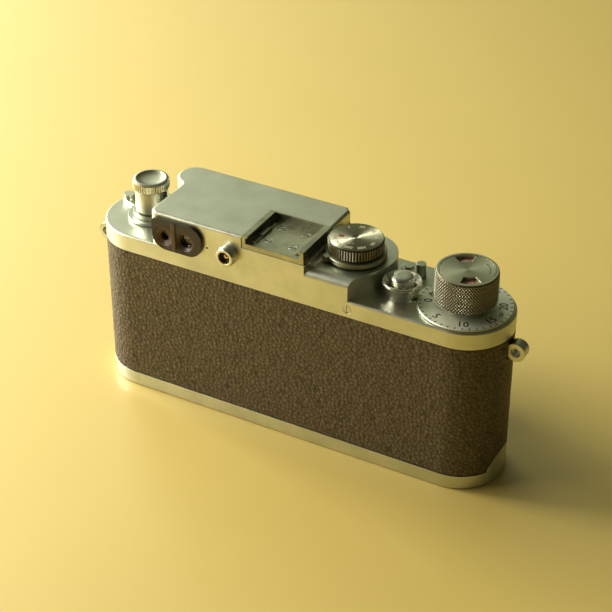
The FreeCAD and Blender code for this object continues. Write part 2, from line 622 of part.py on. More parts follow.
def make_top_cover():
    body = new_body("cover_pressing")
    skirt = sketch_on(body, "XY_Plane", d.cover_bottom)
    draw_stadium(skirt, outer_radius)
    pad(body, skirt, d.deck_top - d.cover_bottom)
    deck_z = SIZES["deck_top"]
    round_edges(body, 0.6, lambda b: near(b.ZMin, deck_z) and near(b.ZMax, deck_z))
    platform = sketch_on(body, "XY_Plane", d.deck_top - 1)
    draw_platform(platform, Size(0))
    pad(body, platform, d.platform_top - d.deck_top + 1)
    platform_z, rear = SIZES["platform_top"], outer_radius.value
    housing_low = d.cover_bottom + 2.3
    housing = sketch_on(body, "XY_Plane", housing_low)
    draw_polygon(housing, housing_outline(Size(0)))
    pad(body, housing, d.housing_top - housing_low)
    bulge = sketch_on(body, "XY_Plane", housing_low)
    draw_circle(bulge, d.bulge_radius, d.bulge_x, d.bulge_y)
    pad(body, bulge, d.housing_top - housing_low)
    foot = sketch_on(body, "XY_Plane", d.deck_top - 0.5)
    draw_circle(foot, d.rewind_foot, d.rewind_x, 0)
    pad(body, foot, d.rewind_foot_top - d.deck_top + 0.5)
    left, right = SIZES["housing_left"], SIZES["housing_right"]
    top = SIZES["housing_top"]
    round_edges(body, 2.2, lambda b: b.ZLength > 8 and near(b.XMin, left) and near(b.YMax, rear))
    round_edges(body, 2.5, lambda b: b.ZLength > 8 and near(b.XMin, left) and near(b.XMax, left)
                and b.YMax < 0)
    round_edges(body, 2.2, lambda b: near(b.ZMin, platform_z) and near(b.ZMax, platform_z)
                and near(b.XMin, right) and near(b.XMax, right))
    round_edges(body, 0.9, lambda b: near(b.ZMin, top) and near(b.ZMax, top))
    hollow_skirt = sketch_on(body, "XY_Plane", d.cover_bottom)
    draw_stadium(hollow_skirt, outer_radius - d.cover_wall)
    pocket(body, hollow_skirt, d.deck_top - d.cover_wall - d.cover_bottom)
    hollow_platform = sketch_on(body, "XY_Plane", d.cover_bottom)
    draw_platform(hollow_platform, d.cover_wall * 1.6)
    pocket(body, hollow_platform, d.platform_top - d.cover_wall - d.cover_bottom)
    recess_wall = d.shoe_left + 0.2 + d.cover_wall
    under_shoe = d.shoe_low - 0.1 - d.cover_wall
    rear_inside = outer_radius - d.cover_wall
    front_inside = d.housing_front + d.cover_wall
    # The housing overhangs the skirt, so its hollow starts above its own floor.
    above_floor = housing_low + d.cover_wall
    hollow_housing = sketch_on(body, "XY_Plane", above_floor)
    wall_left = d.housing_left - d.cover_wall
    draw_polygon(hollow_housing, [(recess_wall, front_inside), (wall_left, front_inside),
                                  (wall_left, rear_inside - 1), (wall_left - 1, rear_inside),
                                  (recess_wall, rear_inside)])
    pocket(body, hollow_housing, d.housing_top - d.cover_wall - above_floor)
    hollow_shoe = sketch_on(body, "XY_Plane", above_floor)
    wall_right = d.housing_right + d.cover_wall
    draw_polygon(hollow_shoe, [(wall_right, rear_inside), (wall_right, front_inside + 1),
                               (recess_wall + 1, front_inside + 1), (recess_wall + 1, rear_inside)])
    pocket(body, hollow_shoe, under_shoe - above_floor)
    recess = sketch_on(body, "XY_Plane", d.shoe_low - 0.1)
    edge = outer_radius + 1
    draw_polygon(recess, [(d.housing_right - 1, edge), (d.housing_right - 1, d.shoe_front - 0.2),
                          (d.shoe_left + 0.2, d.shoe_front - 0.2), (d.shoe_left + 0.2, edge)])
    pocket(body, recess, d.housing_top)
    bores = sketch_on(body, "XY_Plane", d.cover_bottom)
    draw_circle(bores, d.shaft_radius + d.running_gap, d.wind_x, 0)
    draw_circle(bores, d.shaft_radius + d.running_gap, d.rewind_x, 0)
    draw_circle(bores, d.release_rod + d.running_gap, d.sprocket_x, d.sprocket_y)
    draw_circle(bores, d.sleeve_radius + 0.15, d.drum_x, 0)
    draw_circle(bores, 1.1, d.lever_x, d.lever_y)
    pocket(body, bores, d.housing_top)
    eyes = sketch_on(body, "XZ_Plane")
    draw_circle(eyes, d.eye_bore, d.ranging_x, d.eye_z)
    draw_circle(eyes, d.eye_bore, d.finder_x, d.eye_z)
    draw_circle(eyes, d.contact_radius + 1, d.socket_x, d.socket_z)
    draw_circle(eyes, d.pinhole_radius, d.pinhole_x, d.eye_z)
    pocket(body, eyes, d.body_depth, reverse=False)
    windows = sketch_on(body, "XZ_Plane")
    draw_circle(windows, d.window_radius, d.ranging_window_x, d.window_z)
    draw_circle(windows, d.window_radius, d.second_window_x, d.window_z)
    view_left, view_right = d.view_x + d.view_half, d.view_x - d.view_half
    view_low, view_high = d.window_z - d.view_tall, d.window_z + d.view_tall
    draw_polygon(windows, [(view_right, view_low), (view_left, view_low), (view_left, view_high),
                           (view_right, view_high)])
    pocket(body, windows, d.body_depth)
    roll = d.platform_roll
    brow_y, brow_z = outer_radius - roll, d.platform_top - roll
    brow = cylinder_along_x(roll, d.platform_corner - 20, d.housing_right + 10, brow_y, brow_z)
    brow_corner = box(d.platform_corner - 10, d.housing_right, brow_y, outer_radius + 1, brow_z,
                      d.platform_top + 1)
    # The synchroniser ring turns past the fillet between the platform and the housing.
    ring_relief = cylinder(d.sync_radius + 0.3, d.platform_top, d.sync_top + 0.6, d.drum_x, 0)
    sinks = []
    for x, side in SKIRT_SCREWS:
        sinks.append(skirt_cylinder(x, side, d.screw_head + 0.1, 0.6, -1))
        head = skirt_cylinder(x, side, d.screw_head, 0.58, 0.02)
        screws.append(slotted(head, x, d.screw_z, (0.02 - outer_radius) * side))
    piece(cut(body, cut(brow_corner, brow), ring_relief, *sinks), "top_cover")


def skirt_cylinder(x, side, radius, deep, shallow):
    """A cylinder through the skirt's front or rear face, between two depths below it."""
    if side > 0:
        return cylinder_along_y(radius, outer_radius - deep, outer_radius - shallow, x, d.screw_z)
    return cylinder_along_y(radius, shallow - outer_radius, deep - outer_radius, x, d.screw_z)


def slotted(head, x, z, face):
    """Saws an upright slot across the face of a screw head that lies along Y."""
    x, z, face = as_size(x), as_size(z), as_size(face)
    return cut(head, box(x - 0.2, x + 0.2, face - 0.3, face + 0.3, z - 2, z + 2))


def make_shoe():
    rear = outer_radius - 0.1
    blank = box(d.shoe_right, d.shoe_left, d.shoe_front, rear, d.shoe_low, d.shoe_top)
    stop = d.shoe_front + d.shoe_stop
    floor = box(d.shoe_right + d.shoe_wall, d.shoe_left - d.shoe_wall, stop, rear + 1, d.shoe_floor,
                d.shoe_top - d.shoe_lip_thick)
    mouth = box(d.shoe_right + d.shoe_lip, d.shoe_left - d.shoe_lip, stop, rear + 1, d.shoe_floor,
                d.shoe_top + 1)
    sinks = []
    for x in (d.shoe_right + d.shoe_screw_inset, d.shoe_left - d.shoe_screw_inset):
        for y in (d.shoe_screw_front, d.shoe_screw_rear):
            sinks.append(cylinder(d.shoe_screw + 0.1, d.shoe_floor - 0.7, d.shoe_floor + 1, x, y))
            head = cylinder(d.shoe_screw, d.shoe_floor - 0.68, d.shoe_floor - 0.02, x, y)
            slot = box(x - 2, x + 2, y - 0.2, y + 0.2, d.shoe_floor - 0.3, d.shoe_floor + 1)
            screws.append(cut(head, slot))
    piece(cut(blank, floor, mouth, *sinks), "accessory_shoe")
    springs = []
    for x in (d.shoe_right + d.spring_inset, d.shoe_left - d.spring_inset):
        left, right = x - d.spring_half, x + d.spring_half
        leaf = box(left, right, 0, d.spring_reach, d.shoe_floor + 0.02, d.shoe_floor + 0.3)
        bow = box(left, right, d.spring_bow_front, d.spring_bow_rear, d.shoe_floor + 0.25,
                  d.shoe_floor + 0.75)
        springs.append(fuse(leaf, bow))
    piece(group(*springs), "shoe_springs")


def make_eyepieces():
    rear = outer_radius + 0.05
    plate = new_body("eyepiece_blank")
    outline = sketch_on(plate, "XZ_Plane")
    draw_polygon(outline, [(d.eyepiece_right, d.eyepiece_low), (d.eyepiece_left, d.eyepiece_low),
                           (d.eyepiece_left, d.eyepiece_high), (d.eyepiece_right, d.eyepiece_high)])
    pad(plate, outline, d.eyepiece_thick)
    low, high = SIZES["eyepiece_low"], SIZES["eyepiece_high"]
    left, right = SIZES["eyepiece_left"], SIZES["eyepiece_right"]
    round_edges(plate, d.eyepiece_corner_low,
                lambda b: b.YLength > 1 and near(b.ZMin, low) and near(b.ZMax, low))
    round_edges(plate, d.eyepiece_corner_high,
                lambda b: b.YLength > 1 and near(b.ZMin, high) and near(b.XMax, right))
    round_edges(plate, d.eyepiece_corner_tip,
                lambda b: b.YLength > 1 and near(b.ZMin, high) and near(b.XMin, left))
    place(plate, 0, rear + d.eyepiece_thick, 0)
    dishes = []
    eyepieces = []
    for x, hole in ((d.ranging_x, d.ranging_hole), (d.finder_x, d.finder_hole)):
        dishes.append(turned(helper_name("dish"), [
            (0, -1), (d.eye_bore, -1), (d.eye_bore, 0.25), (d.dish_radius - 0.3, 0.25),
            (d.dish_radius, d.eyepiece_thick + 0.1), (0, d.eyepiece_thick + 0.1)],
            x, rear, d.eye_z, REARWARD))
        inset = d.eye_bore - 0.1
        eyepieces.append(turned(helper_name("eyepiece"), [
            (hole, -2.4), (inset, -2.4), (inset, 0.3), (d.dish_radius - 0.35, 0.3),
            (d.dish_radius - 0.15, 0.95), (d.dish_radius - 0.5, 0.95), (hole, 0.1)],
            x, rear, d.eye_z, REARWARD))
        glasses.append(cylinder_along_y(hole - 0.05, 1.0 - outer_radius, 1.5 - outer_radius, x, d.eye_z))
    piece(cut(plate, *dishes), "eyepiece_plate")
    piece(group(*eyepieces), "eyepieces")


def make_finder_parts():
    front = -d.housing_front
    seat, proud = front + 0.03, front + 0.9
    glass_rear, glass_front = front - 0.9, front - 0.1
    frames = []
    for x in (d.ranging_window_x, d.second_window_x):
        section = ring_points(d.window_radius - 0.4, d.window_radius + 0.9, seat, proud, 0.25)
        frames.append(turned(helper_name("window_frame"), section, x, 0, d.window_z, FORWARD))
        glasses.append(cylinder_along_y(d.window_radius - 0.05, glass_rear, glass_front, x, d.window_z))
    view_frame = upright_plate(d.view_half + 0.8, d.view_tall + 0.8, seat, proud)
    view_hole = upright_plate(d.view_half - 0.4, d.view_tall - 0.4, seat - 1, proud + 1)
    frames.append(cut(view_frame, view_hole))
    glasses.append(upright_plate(d.view_half - 0.05, d.view_tall - 0.05, glass_rear, glass_front))
    piece(group(*frames), "window_frames")
    tunnel = cut(box(d.view_x - d.tunnel_half, d.view_x + d.tunnel_half, d.tunnel_front,
                     d.tunnel_rear, d.optics_low, d.tunnel_top),
                 upright_plate(d.tunnel_bore_half, d.tunnel_bore_tall, -d.tunnel_rear - 1,
                               -d.tunnel_front + 1))
    piece(tunnel, "viewfinder_tunnel")
    mirror_block = box(d.mirror_right, d.mirror_left, d.mirror_front, d.mirror_rear, d.optics_low,
                       d.mirror_top)
    light_path = box(d.mirror_right + d.mirror_wall, d.mirror_left - d.mirror_wall, d.mirror_front - 1,
                     d.mirror_rear + 1, d.mirror_bore_low, d.mirror_bore_high)
    cell = turned("dioptre_cell", ring_points(d.cell_bore, d.cell_radius, -d.cell_rear, -d.cell_front),
                  d.ranging_x, 0, d.eye_z, FORWARD)
    piece(cell, "dioptre_cell")
    prism = box(d.prism_right, d.prism_left, d.prism_front, d.prism_rear, d.optics_low, d.prism_top)
    piece(group(cut(mirror_block, light_path), prism), "rangefinder_optics")


def upright_plate(half, tall, rear, front):
    """A block round the viewfinder's axis, between two distances forward of the middle plane."""
    half, tall, rear, front = as_size(half), as_size(tall), as_size(rear), as_size(front)
    return box(d.view_x - half, d.view_x + half, -front, -rear, d.window_z - tall, d.window_z + tall)


def make_socket():
    rear = outer_radius + 0.02
    seat = 0.8
    bore = d.contact_radius + 1.2
    collar = turned("sync_socket", [
        (bore, 0), (d.socket_radius, 0), (d.socket_radius, d.socket_reach - 0.9),
        (d.socket_radius - 0.4, d.socket_reach - 0.15), (d.socket_radius - 0.6, d.socket_reach),
        (d.socket_bore, d.socket_reach), (d.socket_bore, seat), (bore, seat)],
        d.socket_x, rear, d.socket_z, REARWARD)
    piece(collar, "sync_socket")
    inside = d.contact_radius + 0.05
    neck = d.contact_radius + 0.9
    insulator = turned("sync_insulator", [
        (inside, -1.4), (neck, -1.4), (neck, seat + 0.05), (d.socket_bore - 0.05, seat + 0.05),
        (d.socket_bore - 0.05, 1.5), (inside, 1.5)], d.socket_x, rear, d.socket_z, REARWARD)
    piece(insulator, "sync_insulator")
    contact = turned("sync_contact", [
        (0, -1.4), (d.contact_radius, -1.4), (d.contact_radius, 1.7), (d.contact_radius - 0.3, 2.0),
        (0, 2.0)], d.socket_x, rear, d.socket_z, REARWARD)
    piece(contact, "sync_contact")


def make_strap_lugs():
    inside = ends + shell_radius + 0.05
    for side, label in ((1, "strap_lug_rewind_end"), (-1, "strap_lug_wind_end")):
        eye = cylinder_along_y(d.lug_radius, -d.lug_width / 2, d.lug_width / 2, d.lug_x * side, d.lug_z)
        hole = cylinder_along_y(d.lug_hole, -d.lug_width, d.lug_width, d.lug_x * side, d.lug_z)
        near_side = box(-inside, inside, -4, 4, d.lug_z - 5, d.lug_z + 5)
        piece(cut(eye, hole, near_side), label)


# --- Winding, counter and release -------------------------------------------------------------

def make_wind_parts():
    bore = d.shaft_radius + 0.02
    knob = turned("wind_knob", [
        (bore, d.counter_bottom + 0.95), (d.neck_radius, d.counter_bottom + 0.95),
        (d.neck_radius, d.knob_bottom), (d.knob_radius - 0.4, d.knob_bottom),
        (d.knob_radius, d.knob_bottom + 0.4), (d.knob_radius, d.knob_top - 0.5),
        (d.knob_radius - 0.5, d.knob_top), (d.knob_recess_radius, d.knob_top),
        (d.knob_recess_radius, d.knob_recess), (bore, d.knob_recess)], d.wind_x)
    piece(knob, "wind_knob")
    x = SIZES["wind_x"]
    shaft = upright(SIZES["shaft_radius"], SIZES["spool_top"] - 11, SIZES["knob_recess"] - 0.05, x, 0)
    gear = gear_solid(int(SIZES["wind_teeth"]), TRAIN_ANGLE, x, 0)
    piece(shaped("wind_shaft", shaft.fuse(gear).removeSplitter()), "wind_shaft")
    scale = turned("film_reminder_scale", ring_points(0, d.disc_radius, d.knob_recess + 0.05,
                                                      d.knob_recess + 0.05 + d.reminder_thick), d.wind_x)
    piece(scale, "film_reminder_scale")
    cap = ring_sector(0.001, SIZES["disc_radius"], SIZES["cap_bottom"],
                      SIZES["cap_bottom"] + SIZES["cap_thick"], x, 0, 0, 360)
    for turn in (0, 180):
        middle = SIZES["window_angle"] + turn
        cap = cap.cut(ring_sector(SIZES["window_inner"], SIZES["window_outer"], SIZES["cap_bottom"] - 1,
                                  SIZES["knob_top"] + 1, x, 0, middle - SIZES["window_half"],
                                  middle + SIZES["window_half"]))
    piece(shaped("film_reminder_cap", cap), "film_reminder_cap")
    spool = turned("takeup_spool", [
        (d.shaft_radius + d.running_gap, d.spool_bottom), (d.spool_flange, d.spool_bottom),
        (d.spool_flange, d.spool_bottom + 1.2), (d.spool_core, d.spool_bottom + 1.2),
        (d.spool_core, d.spool_top - 1), (d.spool_core + 2.2, d.spool_top - 1),
        (d.spool_core + 2.2, d.spool_top), (d.shaft_radius + d.running_gap, d.spool_top)], d.wind_x)
    piece(spool, "takeup_spool")
    dial = turned("counter_blank", ring_points(d.shaft_radius + 0.6, d.counter_radius, d.counter_bottom,
                                               d.counter_bottom + d.counter_thick, 0.2), d.wind_x)
    pins = [cylinder(d.counter_pin_radius, d.counter_bottom + d.counter_thick - 0.2,
                     d.counter_bottom + d.counter_thick + 0.7, d.wind_x + d.counter_pin_place * side, 0)
            for side in (1, -1)]
    piece(fuse(dial, *pins), "frame_counter_dial")


def make_sprocket():
    x, y = SIZES["sprocket_x"], SIZES["sprocket_y"]
    solid = upright(SIZES["sprocket_shaft"], SIZES["sprocket_bottom"], SIZES["sprocket_top"], x, y)
    solid = solid.fuse(gear_solid(int(SIZES["sprocket_teeth"]), SPROCKET_TOOTH, x, y))
    for low in (SIZES["sprocket_low"], SIZES["sprocket_high"]):
        high = low + SIZES["sprocket_disc_thick"]
        solid = solid.fuse(upright(SIZES["sprocket_disc"], low, high, x, y))
        for tooth in range(int(SIZES["film_sprockets"])):
            angle = 360 * tooth / SIZES["film_sprockets"]
            wedge = Part.makeBox(SIZES["sprocket_tip"], 1.0, 1.2, FreeCAD.Vector(0, -0.5, low + 0.4))
            wedge.rotate(FreeCAD.Vector(0, 0, 0), FreeCAD.Vector(0, 0, 1), angle)
            wedge.translate(FreeCAD.Vector(x, y, 0))
            solid = solid.fuse(wedge)
    solid = solid.cut(upright(SIZES["sprocket_bore"], 0, SIZES["deck_top"], x, y))
    piece(shaped("sprocket", solid.removeSplitter()), "sprocket")


def make_release():
    foot = d.deck_top + 0.02
    collar = turned("release_collar", [
        (d.collar_bore, foot), (d.collar_foot, foot), (d.collar_foot + 0.2, foot + 1.6),
        (d.collar_rim, d.collar_top - 0.5), (d.collar_rim - 0.2, d.collar_top),
        (d.collar_rim - 0.7, d.collar_top), (d.collar_bore + 0.5, d.collar_top - 1.6),
        (d.collar_bore, d.collar_top - 2.6)], d.sprocket_x, d.sprocket_y)
    piece(collar, "release_collar")
    recess = d.spring_outer + 0.25
    button = turned("release_button", [
        (0, d.release_rod_bottom), (d.release_rod, d.release_rod_bottom),
        (d.release_rod, d.spring_top + 0.2), (recess, d.spring_top + 0.2), (recess, d.button_bottom),
        (d.button_radius, d.button_bottom), (d.button_radius, d.button_top - 0.9),
        (d.button_radius - 0.3, d.button_top - 0.35), (d.button_radius - 0.9, d.button_top - 0.08),
        (d.button_radius - 1.9, d.button_top), (0, d.button_top)], d.sprocket_x, d.sprocket_y)
    piece(button, "release_button")
    spring = turned("release_spring", ring_points(d.spring_inner, d.spring_outer, foot + 0.05,
                                                  d.spring_top), d.sprocket_x, d.sprocket_y)
    piece(spring, "release_spring")


def make_reversing_lever():
    low = d.deck_top + 0.2
    high = low + d.lever_thick
    hub = cylinder(d.lever_hub, low, high, d.lever_x, d.lever_y)
    pin = cylinder(1.0, d.deck_top - 1.6, high, d.lever_x, d.lever_y)
    screw = cylinder(d.lever_screw, low, high + 0.5, d.lever_x, d.lever_y)
    end = cylinder(d.lever_width / 2, low, high, d.lever_post_x, d.lever_post_y)
    post = cylinder(d.lever_post_radius, low, d.lever_post_top, d.lever_post_x, d.lever_post_y)
    along = SIZES["lever_post_x"] - SIZES["lever_x"]
    across = SIZES["lever_post_y"] - SIZES["lever_y"]
    arm = bar(d.lever_x, d.lever_y, 0, math.hypot(along, across), d.lever_width / 2, low, high,
              math.degrees(math.atan2(across, along)))
    piece(fuse(hub, pin, screw, end, post, arm), "reversing_lever")


# --- Shutter ----------------------------------------------------------------------------------

def make_shutter():
    x = SIZES["drum_x"]
    solid = upright(SIZES["drum_shaft"], SIZES["drum_axle_bottom"], SIZES["drum_axle_top"], x, 0)
    solid = solid.fuse(upright(SIZES["drum_radius"], SIZES["drum_bottom"],
                               SIZES["drum_bottom"] + SIZES["drum_height"], x, 0))
    solid = solid.fuse(gear_solid(int(SIZES["drum_teeth"]), DRUM_TOOTH, x, 0))
    piece(shaped("shutter_drum", solid.removeSplitter()), "shutter_drum")
    high = d.drum_bottom + d.drum_height
    for label, place_x in (("opening_roller", d.opening_x), ("closing_roller", d.closing_x)):
        roller = turned(label, [
            (0, d.drum_axle_bottom), (d.roller_axle, d.drum_axle_bottom), (d.roller_axle, d.drum_bottom),
            (d.roller_radius, d.drum_bottom), (d.roller_radius, high), (d.roller_axle, high),
            (d.roller_axle, d.roller_top), (0, d.roller_top)], place_x, d.roller_y)
        piece(roller, label)
    rear = d.curtain_y + d.curtain_thick
    middle = d.lens_x + 2
    low, high = d.curtain_low, d.curtain_high
    opening = box(d.drum_x + 4.5, middle - 0.3, d.curtain_y, rear, low, high)
    closing = box(middle + 0.3, d.opening_x - 2.9, d.curtain_y, rear, low, high)
    laths = [box(place_x - 0.5, place_x + 0.5, d.curtain_y - 0.2, rear + 0.2, low + 0.2, high - 0.2)
             for place_x in (middle - 1.2, middle + 1.2)]
    piece(group(fuse(opening, laths[0]), fuse(closing, laths[1])), "shutter_curtains")


def make_speed_dial():
    sleeve = turned("speed_dial_sleeve", ring_points(d.drum_shaft + 0.1, d.sleeve_radius, d.sleeve_bottom,
                                                     d.sleeve_top), d.drum_x)
    piece(sleeve, "speed_dial_sleeve")
    bore = d.sleeve_radius + 0.08
    dial = turned("speed_dial", [
        (bore, d.dial_bottom), (d.dial_radius - 0.35, d.dial_bottom), (d.dial_radius, d.dial_bottom + 0.4),
        (d.dial_radius, d.dial_top - 0.25), (d.dial_radius - 0.25, d.dial_top), (0, d.dial_top),
        (0, d.dial_top - 1.2), (bore, d.dial_top - 1.2)], d.drum_x)
    piece(dial, "speed_dial")
    ring = turned("sync_blank", ring_points(d.sleeve_radius + 0.3, d.sync_radius, d.sync_bottom,
                                            d.sync_top, 0.25), d.drum_x)
    tab = bar(d.drum_x, 0, d.sync_radius - 1.5, d.sync_tab_radius, d.sync_tab_half, d.sync_bottom,
              d.sync_top, SIZES["sync_tab_angle"])
    piece(fuse(ring, tab), "sync_dial")


# --- Crate and film path ----------------------------------------------------------------------

def make_crate():
    top = new_body("crate_top_plate")
    outline = sketch_on(top, "XY_Plane", d.top_plate_low)
    draw_stadium(outline, d.crate_radius)
    pad(top, outline, d.top_plate_thick)
    holes = sketch_on(top, "XY_Plane", d.top_plate_low)
    for x in (d.wind_x, d.rewind_x):
        draw_circle(holes, d.shaft_radius + d.running_gap, x, 0)
    draw_circle(holes, d.sprocket_shaft + d.running_gap, d.sprocket_x, d.sprocket_y)
    draw_circle(holes, d.drum_shaft + d.running_gap, d.drum_x, 0)
    axle_hole = d.roller_axle + d.running_gap
    for x in (d.opening_x, d.closing_x):
        draw_circle(holes, axle_hole, x, d.roller_y)
    draw_circle(holes, axle_hole, d.arm_pivot_x, d.arm_y)
    pocket(top, holes, d.top_plate_thick * 2)
    piece(top, "crate_top_plate")
    low = d.bottom_plate_low
    high = low + d.bottom_plate_thick
    plate = box(d.crate_right, d.crate_left, -d.crate_radius, d.crate_radius, low, high)
    clear = [cylinder(d.spool_clearance, 0, high + 1, d.wind_x, 0),
             cylinder(d.sprocket_shaft + d.running_gap, 0, high + 1, d.sprocket_x, d.sprocket_y),
             cylinder(d.drum_shaft + d.running_gap, 0, high + 1, d.drum_x, 0)]
    clear += [cylinder(axle_hole, 0, high + 1, x, d.roller_y) for x in (d.opening_x, d.closing_x)]
    piece(cut(plate, *clear), "crate_bottom_plate")
    gate_rear = d.gate_front + d.gate_thick
    gate_low, gate_high = high + 0.05, d.top_plate_low - 0.05
    right, left = d.lens_x - d.gate_half, d.lens_x + d.gate_half
    gate = box(right, left, d.gate_front, gate_rear, gate_low, gate_high)
    aperture = box(d.lens_x - d.frame_width / 2, d.lens_x + d.frame_width / 2, d.gate_front - 1,
                   gate_rear + 1, d.lens_z - d.frame_height / 2, d.lens_z + d.frame_height / 2)
    rails = [box(right + 1, left - 1, gate_rear - 0.1, gate_rear + 0.25, d.lens_z + z,
                 d.lens_z + z + d.rail_width) for z in RAIL_PLACES]
    piece(cut(fuse(gate, *rails), aperture), "film_gate")
    plate_block = box(d.lens_x - d.pressure_half, d.lens_x + d.pressure_half, d.pressure_front,
                      d.pressure_rear, d.lens_z - d.pressure_tall, d.lens_z + d.pressure_tall)
    leaves = [box(x - d.leaf_half, x + d.leaf_half, d.pressure_rear - 0.1, d.leaf_rear,
                  d.lens_z - d.leaf_tall, d.lens_z + d.leaf_tall)
              for x in (d.lens_x - d.leaf_place, d.lens_x + d.leaf_place)]
    piece(fuse(plate_block, *leaves), "pressure_plate")


# --- Rewind and dioptre lever -----------------------------------------------------------------

def make_rewind():
    bore = d.shaft_radius + 0.02
    fork_room = d.rewind_top - 1.4
    knob = turned("rewind_knob", [
        (bore, d.rewind_bottom), (d.rewind_stem - 0.4, d.rewind_bottom),
        (d.rewind_stem, d.rewind_grip - 0.5), (d.rewind_radius, d.rewind_grip),
        (d.rewind_radius, d.rewind_top - 0.6), (d.rewind_radius - 0.6, d.rewind_top),
        (0, d.rewind_top), (0, fork_room), (bore, fork_room)], d.rewind_x)
    piece(knob, "rewind_knob")
    shaft = cylinder(d.shaft_radius, d.fork_bottom, fork_room - 0.05, d.rewind_x, 0)
    slot = box(d.rewind_x - 3, d.rewind_x + 3, -0.6, 0.6, d.fork_bottom - 1, d.fork_bottom + 3.5)
    piece(cut(shaft, slot), "rewind_fork")
    collar = turned("rewind_collar", ring_points(d.shaft_radius + 0.08, d.rewind_collar,
                                                 d.rewind_collar_low, d.rewind_collar_high), d.rewind_x)
    piece(collar, "rewind_collar")
    low = d.deck_top + 0.15
    high = low + d.dioptre_thick
    ring = cylinder(d.dioptre_ring, low, high, d.rewind_x, 0)
    ring_bore = cylinder(d.rewind_foot + 0.2, low - 1, high + 1, d.rewind_x, 0)
    angle = SIZES["dioptre_angle"]
    arm = bar(d.rewind_x, 0, d.dioptre_start, d.dioptre_reach, d.dioptre_half, low, high, angle)
    tip = SIZES["dioptre_reach"] - 0.9
    tip_x, tip_y = tip * math.cos(math.radians(angle)), tip * math.sin(math.radians(angle))
    finger = cylinder(d.dioptre_half, low, high + 1.5, d.rewind_x + tip_x, tip_y)
    piece(cut(fuse(ring, arm, finger), ring_bore), "dioptre_lever")


# --- Lens -------------------------------------------------------------------------------------

def make_lens():
    ring = lens_turned("mount_blank", [
        (d.mount_bore, d.mount_rear), (d.mount_radius, d.mount_rear), (d.mount_radius, d.mount_face - 0.4),
        (d.mount_radius - 0.4, d.mount_face), (d.mount_bore, d.mount_face)])
    sinks = []
    for angle in (45, 135, 225, 315):
        x = d.lens_x + d.mount_screw_circle * math.cos(math.radians(angle))
        z = d.lens_z + d.mount_screw_circle * math.sin(math.radians(angle))
        sinks.append(cylinder_along_y(d.mount_screw + 0.05, d.mount_face - 0.8, d.mount_face + 1, x, z))
        head = cylinder_along_y(d.mount_screw, d.mount_face - 0.78, d.mount_face - 0.03, x, z)
        screws.append(slotted(head, x, z, 0.03 - d.mount_face))
    piece(cut(ring, *sinks), "lens_mount_ring")
    barrel = lens_turned("lens_barrel", [
        (d.barrel_bore, d.mount_rear + 0.15), (d.barrel_thread, d.mount_rear + 0.15),
        (d.barrel_thread, d.mount_face + 0.05), (d.barrel_flange, d.mount_face + 0.05),
        (d.barrel_flange, d.barrel_front - 0.3), (d.barrel_flange - 0.3, d.barrel_front),
        (d.barrel_bore, d.barrel_front)])
    piece(barrel, "lens_barrel")
    ring = lens_turned("focus_blank", ring_points(d.barrel_bore + 0.1, d.focus_radius, d.focus_rear,
                                                  d.focus_front, 0.4))
    angle = math.radians(SIZES["focus_tab_angle"])
    centre = d.focus_reach - d.focus_tab
    tab = cylinder_along_y(d.focus_tab, d.focus_rear + 0.6, d.focus_front + 1.2,
                           d.lens_x + centre * math.cos(angle), d.lens_z + centre * math.sin(angle))
    piece(fuse(ring, tab), "focus_ring")
    carriage = lens_turned("lens_carriage", ring_points(d.tube_radius + 0.2, d.carriage_radius,
                                                        d.carriage_rear, d.focus_front - 0.2))
    piece(carriage, "lens_carriage")
    tube = lens_turned("lens_tube", ring_points(d.tube_radius - 1, d.tube_radius, d.tube_rear, d.tube_front))
    piece(tube, "lens_tube")


def make_lens_head():
    rear, front = d.tube_front + 0.15, d.head_front
    well, well_floor = d.aperture_radius + 0.3, d.head_front - 2.0
    head = lens_turned("lens_head", [
        (d.head_bore, d.head_tail_rear), (d.head_tail, d.head_tail_rear), (d.head_tail, rear),
        (d.head_radius, rear), (d.head_radius, front - 0.4), (d.head_radius - 0.4, front),
        (d.head_rim, front), (well, front - 1.1), (well, well_floor), (d.head_bore, well_floor)])
    piece(head, "lens_head")
    ring = lens_turned("aperture_blank", ring_points(d.aperture_bore, d.aperture_radius, well_floor + 0.1,
                                                     front - 0.3, 0.3))
    pin = cylinder_along_y(d.aperture_pin, front - 0.5, front + 0.9, d.lens_x,
                           d.lens_z + d.aperture_pin_place)
    piece(fuse(ring, pin), "aperture_ring")
    edge = d.glass_radius
    elements = [
        lens_turned("front_glass", [(0, 30.6), (edge, 31.6), (edge, 33.0), (4.5, 33.9), (0, 34.3)]),
        lens_turned("middle_glass", [(0, 28.6), (6.5, 28.0), (edge, 28.0), (edge, 29.6), (6.5, 29.6),
                                     (0, 29.2)]),
        lens_turned("rear_glass", [(0, 20.2), (4.5, 20.6), (edge, 21.4), (edge, 23.6), (0, 24.4)])]
    piece(group(*elements), "lens_elements")
    iris = lens_turned("iris", ring_points(d.iris_hole, d.glass_radius, d.iris_rear, d.iris_front))
    piece(iris, "iris")


def make_rangefinder_arm():
    low, high = d.arm_low, d.arm_high
    arm = box(d.lens_x, d.arm_pivot_x, d.arm_y - d.arm_half, d.arm_y + d.arm_half, low, high)
    hub = cylinder(d.arm_hub, low, high, d.arm_pivot_x, d.arm_y)
    pin = cylinder(d.roller_axle, low, d.arm_pin_top, d.arm_pivot_x, d.arm_y)
    roller = cylinder(d.arm_roller, low, high, d.lens_x, d.arm_y)
    piece(fuse(arm, hub, pin, roller), "rangefinder_arm")


